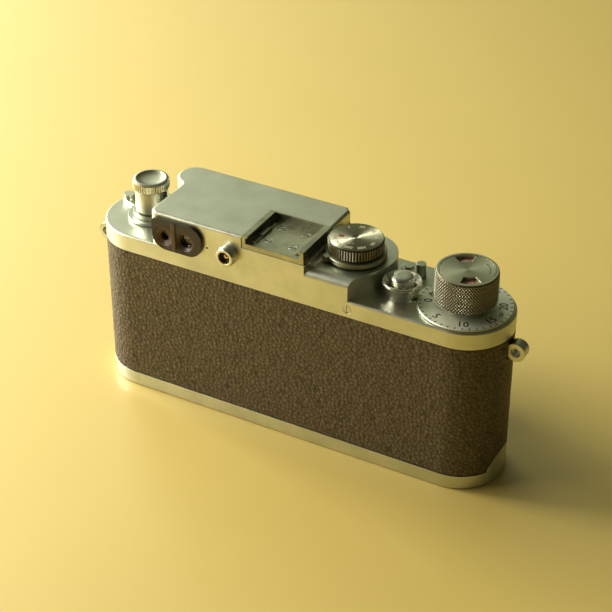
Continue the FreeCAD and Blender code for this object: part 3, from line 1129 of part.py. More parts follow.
def make_slow_dial():
    shaft = d.sleeve_radius - 0.15
    flange = d.slow_rear - 0.3
    boss = d.slow_radius - 2.2
    dial = turned("slow_speed_dial", [
        (0, d.slow_shaft_rear), (shaft, d.slow_shaft_rear), (shaft, flange), (d.slow_radius - 0.6, flange),
        (d.slow_radius, d.slow_rear + 0.3), (d.slow_radius, d.slow_shoulder), (boss, d.slow_shoulder),
        (boss - 0.4, d.slow_front), (0, d.slow_front)], d.slow_x, 0, d.slow_z, FORWARD)
    piece(dial, "slow_speed_dial")


def check_and_write():
    doc.recompute()
    for item in doc.Objects:
        if "Invalid" in item.State or "Error" in item.State:
            raise RuntimeError(f"{item.Label} failed: {item.State}")
    labels = [item.Label for item in pieces]
    if len(set(labels)) != len(labels):
        raise RuntimeError("two pieces share a name")
    os.makedirs("parts", exist_ok=True)
    for item in pieces:
        shape = item.Shape
        if shape.isNull() or not shape.isValid() or shape.Volume <= 0:
            raise RuntimeError(f"{item.Label} has no valid solid")
    for item in pieces:
        item.Shape.exportStep(f"parts/{item.Label}.step")
    print(len(pieces), "pieces written")


def main():
    make_body_shell()
    make_leather()
    make_base_plate()
    make_base_fittings()
    make_top_cover()
    make_shoe()
    make_eyepieces()
    make_finder_parts()
    make_socket()
    make_strap_lugs()
    make_wind_parts()
    make_sprocket()
    make_release()
    make_reversing_lever()
    make_shutter()
    make_speed_dial()
    make_crate()
    make_rewind()
    make_lens()
    make_lens_head()
    make_rangefinder_arm()
    make_slow_dial()
    piece(group(*screws), "slotted_screws")
    piece(group(*glasses), "finder_glasses")
    check_and_write()


main()
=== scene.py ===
"""Looks of the rangefinder camera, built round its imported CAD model.

Lengths here are millimetres unless a name says otherwise, in the CAD frame: +X towards the rewind
end, -Y towards the subject, +Z up.
"""
import json
import math

import bmesh
import bpy
import numpy
from mathutils import Matrix, Vector


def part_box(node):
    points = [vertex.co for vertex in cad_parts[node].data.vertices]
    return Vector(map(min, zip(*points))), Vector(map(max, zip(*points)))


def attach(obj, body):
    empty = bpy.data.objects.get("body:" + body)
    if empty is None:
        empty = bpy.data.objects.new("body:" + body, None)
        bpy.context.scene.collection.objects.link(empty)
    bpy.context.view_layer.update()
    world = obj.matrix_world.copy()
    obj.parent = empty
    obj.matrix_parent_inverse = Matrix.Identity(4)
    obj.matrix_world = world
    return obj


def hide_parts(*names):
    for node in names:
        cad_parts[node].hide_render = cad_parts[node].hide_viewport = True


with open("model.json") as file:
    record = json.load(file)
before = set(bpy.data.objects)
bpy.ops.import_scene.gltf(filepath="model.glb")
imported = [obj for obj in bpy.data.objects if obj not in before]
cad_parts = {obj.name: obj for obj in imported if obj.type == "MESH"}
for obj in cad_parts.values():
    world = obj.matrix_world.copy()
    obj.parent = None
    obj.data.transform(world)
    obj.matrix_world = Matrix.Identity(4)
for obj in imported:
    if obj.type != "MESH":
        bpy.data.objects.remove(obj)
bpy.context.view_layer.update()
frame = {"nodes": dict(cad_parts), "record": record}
MM = 0.001
MARK_DEPTH = 0.02     # thickness of filled numerals and ticks
WELD = 0.001          # points of a turned solid closer than this become one
SHARP = math.radians(32)


# --- Camera, light and floor --------------------------------------------------------------------

def add_camera():
    """Looks down on the camera's back from the wind end."""
    target = Vector((-2.98, 3.42, 41.59)) * MM
    azimuth, elevation = math.radians(28.88), math.radians(33.32)
    distance = 518.7 * MM
    level = math.cos(elevation)
    away = Vector((-math.sin(azimuth) * level, math.cos(azimuth) * level, math.sin(elevation)))
    data = bpy.data.cameras.new("camera")
    data.lens = 101.5  # in millimetres, like the sensor
    data.sensor_width = 36.0
    data.clip_start = 0.01
    data.clip_end = 20
    item = bpy.data.objects.new("camera", data)
    bpy.context.scene.collection.objects.link(item)
    item.location = target + away * distance
    item.rotation_euler = (-away).to_track_quat("-Z", "Y").to_euler()
    bpy.context.scene.camera = item


def add_area(name, place, size, power, colour, target=(0, 0, 0.03)):
    """A soft rectangular light; places and sizes are metres."""
    data = bpy.data.lights.new(name, "AREA")
    data.shape = "RECTANGLE"
    data.size, data.size_y = size
    data.energy = power
    data.color = colour
    item = bpy.data.objects.new(name, data)
    bpy.context.scene.collection.objects.link(item)
    item.location = place
    item.rotation_euler = (Vector(target) - Vector(place)).to_track_quat("-Z", "Y").to_euler()
    item.visible_camera = False


def set_stops(ramp, levels):
    """Gives a colour ramp its stops, each a position and a colour."""
    stops = ramp.color_ramp.elements
    stops.remove(stops[1])
    stops[0].position, stops[0].color = levels[0][0], (*levels[0][1], 1)
    for position, colour in levels[1:]:
        stops.new(position).color = (*colour, 1)


def add_studio():
    """A dim room that brightens towards a window beyond the rewind end, and the window itself."""
    world = bpy.data.worlds.new("studio")
    world.use_nodes = True
    tree = world.node_tree
    background = tree.nodes["Background"]
    direction = tree.nodes.new("ShaderNodeTexCoord").outputs["Generated"]
    facing = tree.nodes.new("ShaderNodeVectorMath")
    facing.operation = "DOT_PRODUCT"
    towards_window = Vector((0.80, -0.50, 0.32))
    facing.inputs[1].default_value = towards_window.normalized()
    tree.links.new(direction, facing.inputs[0])
    ramp = tree.nodes.new("ShaderNodeValToRGB")
    set_stops(ramp, ((0.0, (0.05, 0.048, 0.03)), (0.6, (0.09, 0.09, 0.05)), (0.82, (0.21, 0.22, 0.125)),
                     (0.905, (0.58, 0.61, 0.40)), (0.95, (1.4, 1.45, 1.1)), (1.0, (3.4, 3.4, 2.9))))
    tree.links.new(facing.outputs["Value"], ramp.inputs["Fac"])
    tree.links.new(ramp.outputs["Color"], background.inputs["Color"])
    bpy.context.scene.world = world
    add_area("window", place=(0.84, 0.03, 0.42), size=(0.5, 0.4), power=13, colour=(1.0, 0.97, 0.84))
    add_area("fill", place=(0.34, 0.22, 0.2), size=(0.26, 0.22), power=1.0, colour=(1.0, 0.95, 0.80))
    bpy.context.scene.view_settings.view_transform = "Standard"


def add_floor():
    """A wide pale table top with a faint satin coat."""
    side = 3000
    corners = [(-side, -side, 0), (side, -side, 0), (side, side, 0), (-side, side, 0)]
    floor = mesh_object("floor", corners, [(0, 1, 2, 3)], smooth=False)
    material = new_material("pale_floor")
    dark, light = (0.77, 0.57, 0.15, 1), (0.83, 0.63, 0.18, 1)
    ramp_into(material, noise_node(material, scale=2.2, detail=3), "Base Color", dark, light, 0.35, 0.7)
    ramp_into(material, noise_node(material, scale=40, detail=3), "Roughness", grey(0.42), grey(0.5))
    shader = shader_of(material)
    shader.inputs["Specular IOR Level"].default_value = 0.9
    shader.inputs["Coat Weight"].default_value = 0.8
    shader.inputs["Coat Roughness"].default_value = 0.35
    floor.data.materials.append(material)


# --- Mesh helpers -------------------------------------------------------------------------------

def add_object(name, mesh):
    """Puts a mesh or a curve into the scene."""
    item = bpy.data.objects.new(name, mesh)
    bpy.context.scene.collection.objects.link(item)
    return item


def mesh_object(name, points, faces, smooth=True):
    """A mesh object from points in millimetres."""
    mesh = bpy.data.meshes.new(name)
    mesh.from_pydata([tuple(c * MM for c in point) for point in points], [], faces)
    mesh.validate()
    mesh.update()
    if smooth:
        mesh.polygons.foreach_set("use_smooth", [True] * len(mesh.polygons))
    return add_object(name, mesh)


def upright_at(x, y):
    """Places something modelled about the Z axis on an upright axis."""
    return Matrix.Translation(Vector((x, y, 0)) * MM)


def forward_at(x, z):
    """Places something modelled about the Z axis on an axis that points at the subject."""
    turn = Matrix(((1, 0, 0, 0), (0, 0, -1, 0), (0, 1, 0, 0), (0, 0, 0, 1)))
    return Matrix.Translation(Vector((x, 0, z)) * MM) @ turn


def downward_at(x, y):
    """Places something modelled about the Z axis on an axis that points down."""
    return Matrix.Translation(Vector((x, y, 0)) * MM) @ Matrix.Rotation(math.pi, 4, "X")


def lathe(name, rows, place, segments=96, relief=None):
    """A turned solid from a closed outline of (radius, height, relief depth) rows.

    relief(angle, height), from 0 to 1, sinks the surface by the row's depth."""
    points, faces = [], []
    total = len(rows)
    for radius, height, depth in rows:
        for step in range(segments):
            angle = 2 * math.pi * step / segments
            r = radius - (depth * relief(angle, height) if depth else 0)
            points.append((r * math.cos(angle), r * math.sin(angle), height))
    for row in range(total):
        after = (row + 1) % total
        for step in range(segments):
            following = (step + 1) % segments
            faces.append((row * segments + step, row * segments + following,
                          after * segments + following, after * segments + step))
    item = mesh_object(name, points, faces)
    welded = bmesh.new()
    welded.from_mesh(item.data)
    bmesh.ops.remove_doubles(welded, verts=welded.verts, dist=WELD * MM)
    bmesh.ops.recalc_face_normals(welded, faces=welded.faces)
    welded.to_mesh(item.data)
    welded.free()
    item.data.set_sharp_from_angle(angle=SHARP)
    item.data.transform(place)
    return item


def wave(turns):
    """A triangle wave: 0 at whole turns, 1 half way between them."""
    return 1 - abs(2 * (turns % 1.0) - 1)


def diamond(count, pitch):
    """Crossed V grooves: 1 in the grooves, 0 on the tips of the diamonds."""
    def relief(angle, height):
        around, along = count * angle / (2 * math.pi), height / pitch
        return 1 - min(wave(around + along), wave(around - along))
    return relief


def straight(count):
    """V grooves along the axis."""
    def relief(angle, height):
        return 1 - wave(count * angle / (2 * math.pi))
    return relief


def helix(pitch):
    """A screw thread."""
    def relief(angle, height):
        return wave(height / pitch - angle / (2 * math.pi))
    return relief


def band(radius, low, high, depth, steps=1):
    """Rows of a knurled band between two plain grooves."""
    groove, lip = radius - depth, 0.02
    rows = [(groove, low - lip, 0)]
    rows += [(radius, low + (high - low) * i / steps, depth) for i in range(steps + 1)]
    return rows + [(groove, high + lip, 0)]


def join(name, items):
    """Joins mesh objects into one."""
    target = items[0]
    with bpy.context.temp_override(active_object=target, selected_editable_objects=items,
                                   object=target, selected_objects=items):
        bpy.ops.object.join()
    target.name = name
    target.data.name = name
    return target


def block(name, low, high):
    """A box between two corners, for cutting with or for small flat pieces."""
    corners = [(x, y, z) for z in (low[2], high[2]) for y in (low[1], high[1])
               for x in (low[0], high[0])]
    faces = [(0, 2, 3, 1), (4, 5, 7, 6), (0, 1, 5, 4), (2, 6, 7, 3), (0, 4, 6, 2), (1, 3, 7, 5)]
    return mesh_object(name, corners, faces, smooth=False)


def drum(radius, low, high, place):
    """A plain cylinder, for cutting with."""
    return lathe("drum", [(0, low, 0), (radius, low, 0), (radius, high, 0), (0, high, 0)], place)


def cut_away(item, cutters):
    """Cuts closed shapes out of a mesh object."""
    tool = join("cutter", cutters)
    modifier = item.modifiers.new("cut", "BOOLEAN")
    modifier.object = tool
    modifier.operation = "DIFFERENCE"
    modifier.solver = "EXACT"
    bpy.context.view_layer.update()
    cut = bpy.data.meshes.new_from_object(item.evaluated_get(bpy.context.evaluated_depsgraph_get()))
    item.modifiers.clear()
    item.data = cut
    bpy.data.objects.remove(tool)


# --- Engraved marks -----------------------------------------------------------------------------

def on_face(height):
    """The height of filled marks in a face: just proud of it, so that the two never flicker."""
    return height + MARK_DEPTH / 3


def numeral(text, size, place, x, y, height, turn, weight=0):
    """Filled figures lying at a height on a face; turn aims their tops and weight thickens them."""
    curve = bpy.data.curves.new("figures", "FONT")
    curve.body = text
    curve.size = size * MM
    curve.extrude = MARK_DEPTH * MM / 2
    curve.offset = weight * MM
    curve.align_x = "CENTER"
    curve.align_y = "CENTER"
    curve.resolution_u = 4
    item = add_object("figures", curve)
    bpy.context.view_layer.update()
    mesh = bpy.data.meshes.new_from_object(item)
    bpy.data.objects.remove(item)
    flat = Matrix.Translation(Vector((x, y, height)) * MM) @ Matrix.Rotation(turn, 4, "Z")
    mesh.transform(place @ flat)
    return add_object("figures", mesh)


def numerals(texts, size, radius, height, place, start, step, tops_inward=True, weight=0):
    """Figures round a circle at angles in degrees, with their tops towards or away from its middle."""
    items = []
    for index, text in enumerate(texts):
        angle = math.radians(start + step * index)
        turn = angle + (math.pi / 2 if tops_inward else -math.pi / 2)
        items.append(numeral(text, size, place, radius * math.cos(angle), radius * math.sin(angle),
                             height, turn, weight))
    return items


def arc_mark(inner, outer, start, end, height, place, steps=1):
    """A flat mark between two radii and two angles in degrees."""
    points, faces = [], []
    for i in range(steps + 1):
        angle = math.radians(start + (end - start) * i / steps)
        for radius in (inner, outer):
            for z in (height - MARK_DEPTH / 2, height + MARK_DEPTH / 2):
                points.append((radius * math.cos(angle), radius * math.sin(angle), z))
    for i in range(steps):
        a, b = 4 * i, 4 * i + 4
        faces += [(a, b, b + 2, a + 2), (a + 1, a + 3, b + 3, b + 1), (a, a + 1, b + 1, b),
                  (a + 2, b + 2, b + 3, a + 3)]
    last = 4 * steps
    faces += [(0, 2, 3, 1), (last, last + 1, last + 3, last + 2)]
    item = mesh_object("mark", points, faces, smooth=False)
    item.data.transform(place)
    return item


def ticks(count, inner, outer, width, height, place, start, step):
    """Radial ticks of one width, at angles in degrees."""
    half = math.degrees(width / (inner + outer))
    return [arc_mark(inner, outer, start + step * i - half, start + step * i + half, height, place)
            for i in range(count)]


def arrow(radius, start, end, width, height, place):
    """A curved arrow that points at its end angle; angles are degrees."""
    head_length, head_half = 3.2 * width, 1.6 * width
    head = math.copysign(math.degrees(head_length / radius), end - start)
    shaft = arc_mark(radius - width / 2, radius + width / 2, start, end - head, height, place, 10)
    tip, back = math.radians(end), math.radians(end - head)
    corners = [(radius * math.cos(tip), radius * math.sin(tip))]
    corners += [(r * math.cos(back), r * math.sin(back)) for r in (radius - head_half, radius + head_half)]
    points = [(x, y, z) for z in (height - MARK_DEPTH / 2, height + MARK_DEPTH / 2) for x, y in corners]
    faces = [(0, 1, 2), (5, 4, 3), (0, 3, 4, 1), (1, 4, 5, 2), (2, 5, 3, 0)]
    triangle = mesh_object("mark", points, faces, smooth=False)
    triangle.data.transform(place)
    return [shaft, triangle]


# --- Material helpers ---------------------------------------------------------------------------

GREY_METAL = (0.6, 0.6, 0.5)  # stands in where rim_tones then gives the colour


def new_material(name):
    material = bpy.data.materials.new(name)
    material.use_nodes = True
    return material


def shader_of(material):
    return material.node_tree.nodes["Principled BSDF"]


def object_coordinates(material):
    nodes = material.node_tree.nodes
    found = nodes.get("Texture Coordinate")
    return (found or nodes.new("ShaderNodeTexCoord")).outputs["Object"]


def noise_node(material, scale, detail=2, roughness=0.5, stretch=None):
    """Object-space noise: scale is in features per metre."""
    tree = material.node_tree
    node = tree.nodes.new("ShaderNodeTexNoise")
    node.inputs["Scale"].default_value = scale
    node.inputs["Detail"].default_value = detail
    node.inputs["Roughness"].default_value = roughness
    source = object_coordinates(material)
    if stretch:
        mapping = tree.nodes.new("ShaderNodeMapping")
        mapping.inputs["Scale"].default_value = stretch
        tree.links.new(source, mapping.inputs["Vector"])
        source = mapping.outputs["Vector"]
    tree.links.new(source, node.inputs["Vector"])
    return node.outputs["Fac"]


def math_node(material, operation, first, second=0.0):
    """The output of an arithmetic node; either input may be a number."""
    node = material.node_tree.nodes.new("ShaderNodeMath")
    node.operation = operation
    for socket, value in zip(node.inputs, (first, second)):
        if isinstance(value, (int, float)):
            socket.default_value = value
        else:
            material.node_tree.links.new(value, socket)
    return node.outputs["Value"]


def vector_node(material, operation, first, second=None):
    """A vector arithmetic node; the second input, where there is one, is a constant."""
    node = material.node_tree.nodes.new("ShaderNodeVectorMath")
    node.operation = operation
    material.node_tree.links.new(first, node.inputs[0])
    if second is not None:
        node.inputs[1].default_value = second
    return node.outputs


def distance_from(material, place):
    """Distance in metres from the axis of a place."""
    axis = place.to_3x3() @ Vector((0, 0, 1))
    across = [0 if abs(c) > 0.5 else 1 for c in axis]
    local = vector_node(material, "SUBTRACT", object_coordinates(material), place.translation)["Vector"]
    flat = vector_node(material, "MULTIPLY", local, across)["Vector"]
    return vector_node(material, "LENGTH", flat)["Value"]


def lathe_lines(material, place, scale):
    """Noise that depends only on the distance from an axis, as a turning tool leaves it."""
    tree = material.node_tree
    node = tree.nodes.new("ShaderNodeTexNoise")
    node.noise_dimensions = "1D"
    node.inputs["Scale"].default_value = scale
    node.inputs["Detail"].default_value = 2
    tree.links.new(distance_from(material, place), node.inputs["W"])
    return node.outputs["Fac"]


def ramp_into(material, source, socket, low, high, start=0.3, end=0.7):
    """Feeds a source through a two-stop ramp into a socket of the main shader."""
    tree = material.node_tree
    ramp = tree.nodes.new("ShaderNodeValToRGB")
    ramp.color_ramp.elements[0].position = start
    ramp.color_ramp.elements[1].position = end
    ramp.color_ramp.elements[0].color = low
    ramp.color_ramp.elements[1].color = high
    tree.links.new(source, ramp.inputs["Fac"])
    tree.links.new(ramp.outputs["Color"], shader_of(material).inputs[socket])


def grey(value):
    return (value, value, value, 1)


def bump_into(material, source, strength, distance, normal=None):
    """Adds a bump to the main shader, on top of another normal where one is given."""
    tree = material.node_tree
    bump = tree.nodes.new("ShaderNodeBump")
    bump.inputs["Strength"].default_value = strength
    bump.inputs["Distance"].default_value = distance * MM
    tree.links.new(source, bump.inputs["Height"])
    if normal is not None:
        tree.links.new(normal, bump.inputs["Normal"])
    tree.links.new(bump.outputs["Normal"], shader_of(material).inputs["Normal"])
    return bump.outputs["Normal"]


def edge_softening(material, radius):
    """Rounds the shading at sharp edges, so that they catch light."""
    node = material.node_tree.nodes.new("ShaderNodeBevel")
    node.samples = 6
    node.inputs["Radius"].default_value = radius * MM
    return node.outputs["Normal"]


def metal(name, colour, dark, roughness, bevel=0.18, grain=9000, bump=0.005, turned_at=None,
          ridges=0.012):
    """Plated or bare metal: blotchy tone and gloss, a fine grain and softened edges.

    turned_at is the place whose axis its tool marks run round; ridges is their height."""
    material = new_material(name)
    shader_of(material).inputs["Metallic"].default_value = 1.0
    blotches = noise_node(material, 90, detail=6, roughness=0.6)
    ramp_into(material, blotches, "Base Color", (*dark, 1), (*colour, 1), 0.28, 0.62)
    smears = noise_node(material, 260, detail=5, roughness=0.65)
    ramp_into(material, smears, "Roughness", grey(roughness[0]), grey(roughness[1]), 0.3, 0.75)
    rounded = edge_softening(material, bevel) if bevel else None
    normal = bump_into(material, noise_node(material, grain, detail=2), 0.35, bump, rounded)
    if turned_at is not None:
        bump_into(material, lathe_lines(material, turned_at, scale=3600), 0.6, ridges, normal)
    return material


def brushed(material, amount):
    """Stretches the highlights of a face turned about an upright axis outwards from the axis."""
    tangent = material.node_tree.nodes.new("ShaderNodeTangent")
    tangent.direction_type = "RADIAL"
    tangent.axis = "Z"
    material.node_tree.links.new(tangent.outputs["Tangent"], shader_of(material).inputs["Tangent"])
    quarter_turn = 0.25
    shader_of(material).inputs["Anisotropic"].default_value = amount
    shader_of(material).inputs["Anisotropic Rotation"].default_value = quarter_turn
    return material


def rim_tones(material, node, tones):
    """Colours an upright turned piece by depth below its CAD node's rim, faintly blotched.

    tones are (depth in millimetres, colour)."""
    tree = material.node_tree
    blotch = 0.08
    blotches = math_node(material, "MULTIPLY", noise_node(material, 240, detail=4), blotch * MM)
    depth = math_node(material, "SUBTRACT", width_radius(node) * MM,
                      distance_from(material, upright_on(node)))
    in_millimetres = math_node(material, "DIVIDE", math_node(material, "ADD", depth, blotches), MM)
    ramp = tree.nodes.new("ShaderNodeValToRGB")
    set_stops(ramp, tones)
    tree.links.new(in_millimetres, ramp.inputs["Fac"])
    tree.links.new(ramp.outputs["Color"], shader_of(material).inputs["Base Color"])
    return material


def paint(name, colour, speck, roughness=0.3):
    """Enamel or plastic with faint mottling and orange peel."""
    material = new_material(name)
    rounding, peel = 0.12, 0.01
    mottle = noise_node(material, 350, detail=5)
    ramp_into(material, mottle, "Base Color", (*colour, 1), (*speck, 1), 0.35, 0.8)
    smears = noise_node(material, 500, detail=4)
    ramp_into(material, smears, "Roughness", grey(roughness), grey(roughness + 0.2), 0.3, 0.8)
    rounded = edge_softening(material, rounding)
    bump_into(material, noise_node(material, 1800, detail=2), 0.3, peel, rounded)
    return material


def glass(name, tint):
    """Coated optical glass with faint smears."""
    material = new_material(name)
    shader = shader_of(material)
    shader.inputs["Transmission Weight"].default_value = 1.0
    shader.inputs["IOR"].default_value = 1.5
    smears = noise_node(material, 300, detail=4)
    ramp_into(material, smears, "Roughness", grey(0.02), grey(0.07), 0.4, 0.8)
    clear = (0.95, 0.97, 1, 1)
    ramp_into(material, noise_node(material, 120), "Base Color", (*tint, 1), clear, 0.2, 0.6)
    return material


def height_of_grain(material, half, radius, depth):
    """0 at the bottom of the covering's creases and 1 on top, from its distance off the spine."""
    split = material.node_tree.nodes.new("ShaderNodeSeparateXYZ")
    material.node_tree.links.new(object_coordinates(material), split.inputs["Vector"])
    along = math_node(material, "ABSOLUTE", split.outputs["X"])
    past_end = math_node(material, "MAXIMUM", math_node(material, "SUBTRACT", along, half * MM), 0.0)
    across = split.outputs["Y"]
    squares = math_node(material, "ADD", math_node(material, "MULTIPLY", past_end, past_end),
                        math_node(material, "MULTIPLY", across, across))
    distance = math_node(material, "SQRT", squares)
    above = math_node(material, "SUBTRACT", distance, (radius - depth) * MM)
    return math_node(material, "DIVIDE", above, depth * MM)


def leather(name, half, radius):
    """Dark brown covering: its pebbles are in the mesh, darkened into the creases with painted shade and
    lighter on top.
    """
    material = new_material(name)
    height = height_of_grain(material, half, radius, GRAIN_DEPTH)
    mottle = noise_node(material, 420, detail=6, roughness=0.62)
    tone = math_node(material, "ADD", math_node(material, "MULTIPLY", height, 0.75),
                     math_node(material, "MULTIPLY", mottle, 0.5))
    # painted shade: the colour darkens from the pebble tops down into the creases
    crease, worn = (0.040, 0.028, 0.013, 1), (0.140, 0.102, 0.052, 1)
    ramp_into(material, tone, "Base Color", crease, worn, 0.35, 1.0)
    ramp_into(material, height, "Roughness", grey(0.62), grey(0.42), 0.1, 0.9)
    fine = bump_into(material, noise_node(material, 2600, detail=4, roughness=0.6), 0.55, 0.07)
    bump_into(material, noise_node(material, 9000, detail=2), 0.3, 0.02, fine)
    return material


def cloth(name):
    """Black rubberised curtain cloth with a weave."""
    material = new_material(name)
    mottle = noise_node(material, 900, detail=5)
    ramp_into(material, mottle, "Base Color", (0.008, 0.008, 0.009, 1), (0.025, 0.024, 0.022, 1))
    shader_of(material).inputs["Roughness"].default_value = 0.8
    bump_into(material, noise_node(material, 4200, detail=1, stretch=(1, 1, 4)), 0.5, 0.05)
    return material


# --- Placing by the frame -----------------------------------------------------------------------

def corners_of(node):
    """The lowest and highest corners of a CAD node in millimetres."""
    low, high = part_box(node)
    return low / MM, high / MM


def centre_of(node):
    """The middle of a CAD node's box in millimetres."""
    low, high = corners_of(node)
    return (low + high) / 2


def width_radius(node):
    """The radius of a round CAD node in millimetres, from the width of its box."""
    low, high = corners_of(node)
    return (high.x - low.x) / 2


def upright_on(node):
    """A place on the upright axis through the middle of a CAD node."""
    centre = centre_of(node)
    return upright_at(centre.x, centre.y)


def forward_on(node):
    """A place on the fore-and-aft axis through the middle of a CAD node."""
    centre = centre_of(node)
    return forward_at(centre.x, centre.z)


def finished(item, body, material, replaces=None):
    """Gives a piece its material and its body, and hides the CAD node that it stands for."""
    item.data.materials.clear()
    item.data.materials.append(material)
    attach(item, body)
    if replaces:
        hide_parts(replaces)
    return item


def coat(node, material):
    """Gives a CAD node its material."""
    node = frame["nodes"][node]
    node.data.materials.clear()
    node.data.materials.append(material)


# --- Grained covering ---------------------------------------------------------------------------

PEBBLE = 1.35        # width of one grain of the covering
GRAIN_STEP = 0.34    # mesh spacing over the grain
GRAIN_DEPTH = 0.3
RIM_WIDTH = 0.6      # how far in from its rims the covering starts to thin
COVER_BACK = 0.65    # depth of the covering's back below its surface
BACK_STEPS = 4       # grain steps to one step of the back


def wrap(half, radius, along):
    """Points of the covering's plan and their outward directions, by distance from the rewind end
    of the back. half is half the straight length."""
    side_length = 2 * half + math.pi * radius
    second = along >= side_length
    local = along - second * side_length
    side = numpy.where(second, -1.0, 1.0)
    angle = numpy.maximum(local - 2 * half, 0) / radius
    x = half - numpy.minimum(local, 2 * half)
    out_x, out_y = -numpy.sin(angle), numpy.cos(angle)
    return (x + radius * out_x) * side, radius * out_y * side, out_x * side, out_y * side


def pebbles(along, height, length):
    """Height of the grain from 0 in the creases to 1 on the pebbles, repeating after length."""
    columns = round(length / PEBBLE)
    size = length / columns
    rows = int(numpy.max(height) / size) + 3
    random = numpy.random.default_rng(7)
    jitter, lift = random.random((rows, columns, 2)), random.random((rows, columns))
    column, row = numpy.floor(along / size).astype(int), numpy.floor(height / size).astype(int)
    nearest = numpy.full(along.shape, 9.0)
    second = nearest.copy()
    raised = numpy.zeros(along.shape)
    for i in (-1, 0, 1):
        for j in (-1, 0, 1):
            c, r = column + i, row + j
            offset = jitter[r % rows, c % columns]
            away = numpy.hypot(along / size - c - offset[..., 0], height / size - r - offset[..., 1])
            closer = away < nearest
            second = numpy.where(closer, nearest, numpy.minimum(second, away))
            raised = numpy.where(closer, lift[r % rows, c % columns], raised)
            nearest = numpy.where(closer, away, nearest)
    crease_width, steepness, lowest, doming = 0.38, 0.6, 0.72, 0.22
    crease = numpy.clip((second - nearest) / crease_width, 0, 1)
    return crease ** steepness * (lowest + (1 - lowest) * raised) * (1 - doming * nearest ** 2)


def covering_skin(low, high, half, radius):
    """The closed skin: a fine grained face, and a coarser back that meets it round both rims."""
    length = 4 * half + 2 * math.pi * radius
    columns = BACK_STEPS * round(length / GRAIN_STEP / BACK_STEPS)
    rows = round((high.z - low.z) / GRAIN_STEP)
    along, height = numpy.meshgrid(numpy.arange(columns) * length / columns,
                                   numpy.linspace(0, high.z - low.z, rows + 1))
    sunk = GRAIN_DEPTH * (1 - pebbles(along, height, length))
    rim = numpy.minimum(height, high.z - low.z - height)
    sunk = numpy.maximum(sunk, GRAIN_DEPTH * numpy.clip(1 - rim / RIM_WIDTH, 0, 1) ** 2)
    x, y, out_x, out_y = wrap(half, radius, along)
    face = numpy.stack([x - sunk * out_x, y - sunk * out_y, height + low.z], axis=-1).reshape(-1, 3)
    points = face.tolist()
    back = len(points)
    x, y, out_x, out_y = wrap(half, radius, along[0, ::BACK_STEPS])
    for z in (low.z, high.z):
        points += [(a, b, z) for a, b in zip(x - COVER_BACK * out_x, y - COVER_BACK * out_y)]
    faces = []
    for row in range(rows):
        for column in range(columns):
            after = (column + 1) % columns
            a, b = row * columns, (row + 1) * columns
            faces.append((a + after, a + column, b + column, b + after))
    around = columns // BACK_STEPS
    top_row, back_top = rows * columns, back + around
    for k in range(around):
        after = (k + 1) % around
        run = [(BACK_STEPS * k + i) % columns for i in range(BACK_STEPS + 1)]
        faces.append((back + k, back + after, back_top + after, back_top + k))
        faces.append(run + [back + after, back + k])
        faces.append([top_row + i for i in reversed(run)] + [back_top + k, back_top + after])
    return mesh_object("grained_covering", points, faces)


def covering_cutters():
    """Openings for the lens mount, the slow dial, the strap lugs and the base's end hook."""
    gap, lug_gap, lug_depth = 0.3, 0.2, 3
    hook_radius, hook_top = 7.0, 10.3
    cutters = []
    for node in ("lens_mount_ring", "slow_speed_dial"):
        low, high = corners_of(node)
        cutters.append(drum((high.x - low.x) / 2 + gap, 10, 20, forward_on(node)))
    for lug in ("strap_lug_rewind_end", "strap_lug_wind_end"):
        low, high = corners_of(lug)
        cutters.append(block("slot", (low.x - lug_depth, low.y - lug_gap, low.z - lug_gap),
                             (high.x + lug_depth, high.y + lug_gap, high.z + lug_gap)))
    along_x = Matrix.Translation(Vector((0, 0, hook_top - hook_radius)) * MM)
    along_x = along_x @ Matrix.Rotation(-math.pi / 2, 4, "Y")
    return cutters + [drum(hook_radius + gap, 60, 75, along_x)]


def make_covering():
    """The grained covering round the body, open where other parts come through it."""
    low, high = corners_of("leather_cover")
    radius = (high.y - low.y) / 2
    half = (high.x - low.x) / 2 - radius
    skin = covering_skin(low, high, half, radius)
    cut_away(skin, covering_cutters())
    skin.data.set_sharp_from_angle(angle=math.radians(70))
    finished(skin, "camera_body", leather("grained_leatherette", half, radius),
             "leather_cover")


# --- Knobs and dials ----------------------------------------------------------------------------

def wind_knob_finish():
    """Bright tips on the diamonds over grooves darkened with grime and painted shade."""
    # the groove colour is partly grime and partly painted shade: it darkens the knurl by depth below the rim
    tips, groove_grime_and_shade, below = (0.86, 0.84, 0.70), (0.10, 0.08, 0.04), (0.5, 0.5, 0.38)
    plain = metal("wind_knob_chrome", GREY_METAL, GREY_METAL, (0.36, 0.48), bevel=0)
    return rim_tones(plain, "wind_knob", ((0.06, tips), (0.36, groove_grime_and_shade), (0.5, below)))


def make_wind_knob():
    """The tall knob: diamond knurled, with a well in its top for the film reminder."""
    low, high = corners_of("wind_knob")
    radius = width_radius("wind_knob")
    bore, neck, skirt, well_radius, well = 2.02, 6.0, 58.1, 8.1, 66.4
    rim, knurl, diamonds, pitch = 0.45, 0.42, 64, 1.1
    taper = well_radius - 0.02
    rows = [(bore, low.z, 0), (neck, low.z, 0), (neck, skirt, 0), (radius - 0.7, skirt, 0)]
    rows += band(radius, skirt + 0.3, high.z - rim, knurl, steps=72)
    rows += [(radius - 0.3, high.z - 0.1, 0), (radius - rim, high.z, 0), (well_radius, high.z, 0),
             (taper, high.z - 0.08, 0), (taper, well, 0), (bore, well, 0)]
    knob = lathe("wind_knob_knurled", rows, upright_on("wind_knob"), 9 * diamonds, diamond(diamonds, pitch))
    finished(knob, "wind", wind_knob_finish(), "wind_knob")


def make_cap_marks(material):
    """A winding arrow on the film reminder's cap."""
    top = on_face(corners_of("film_reminder_cap")[1].z)
    marks = arrow(radius=6.4, start=184, end=238, width=0.2, height=top,
                  place=upright_on("film_reminder_cap"))
    finished(join("reminder_cap_marks", marks), "reminder_cap", material)


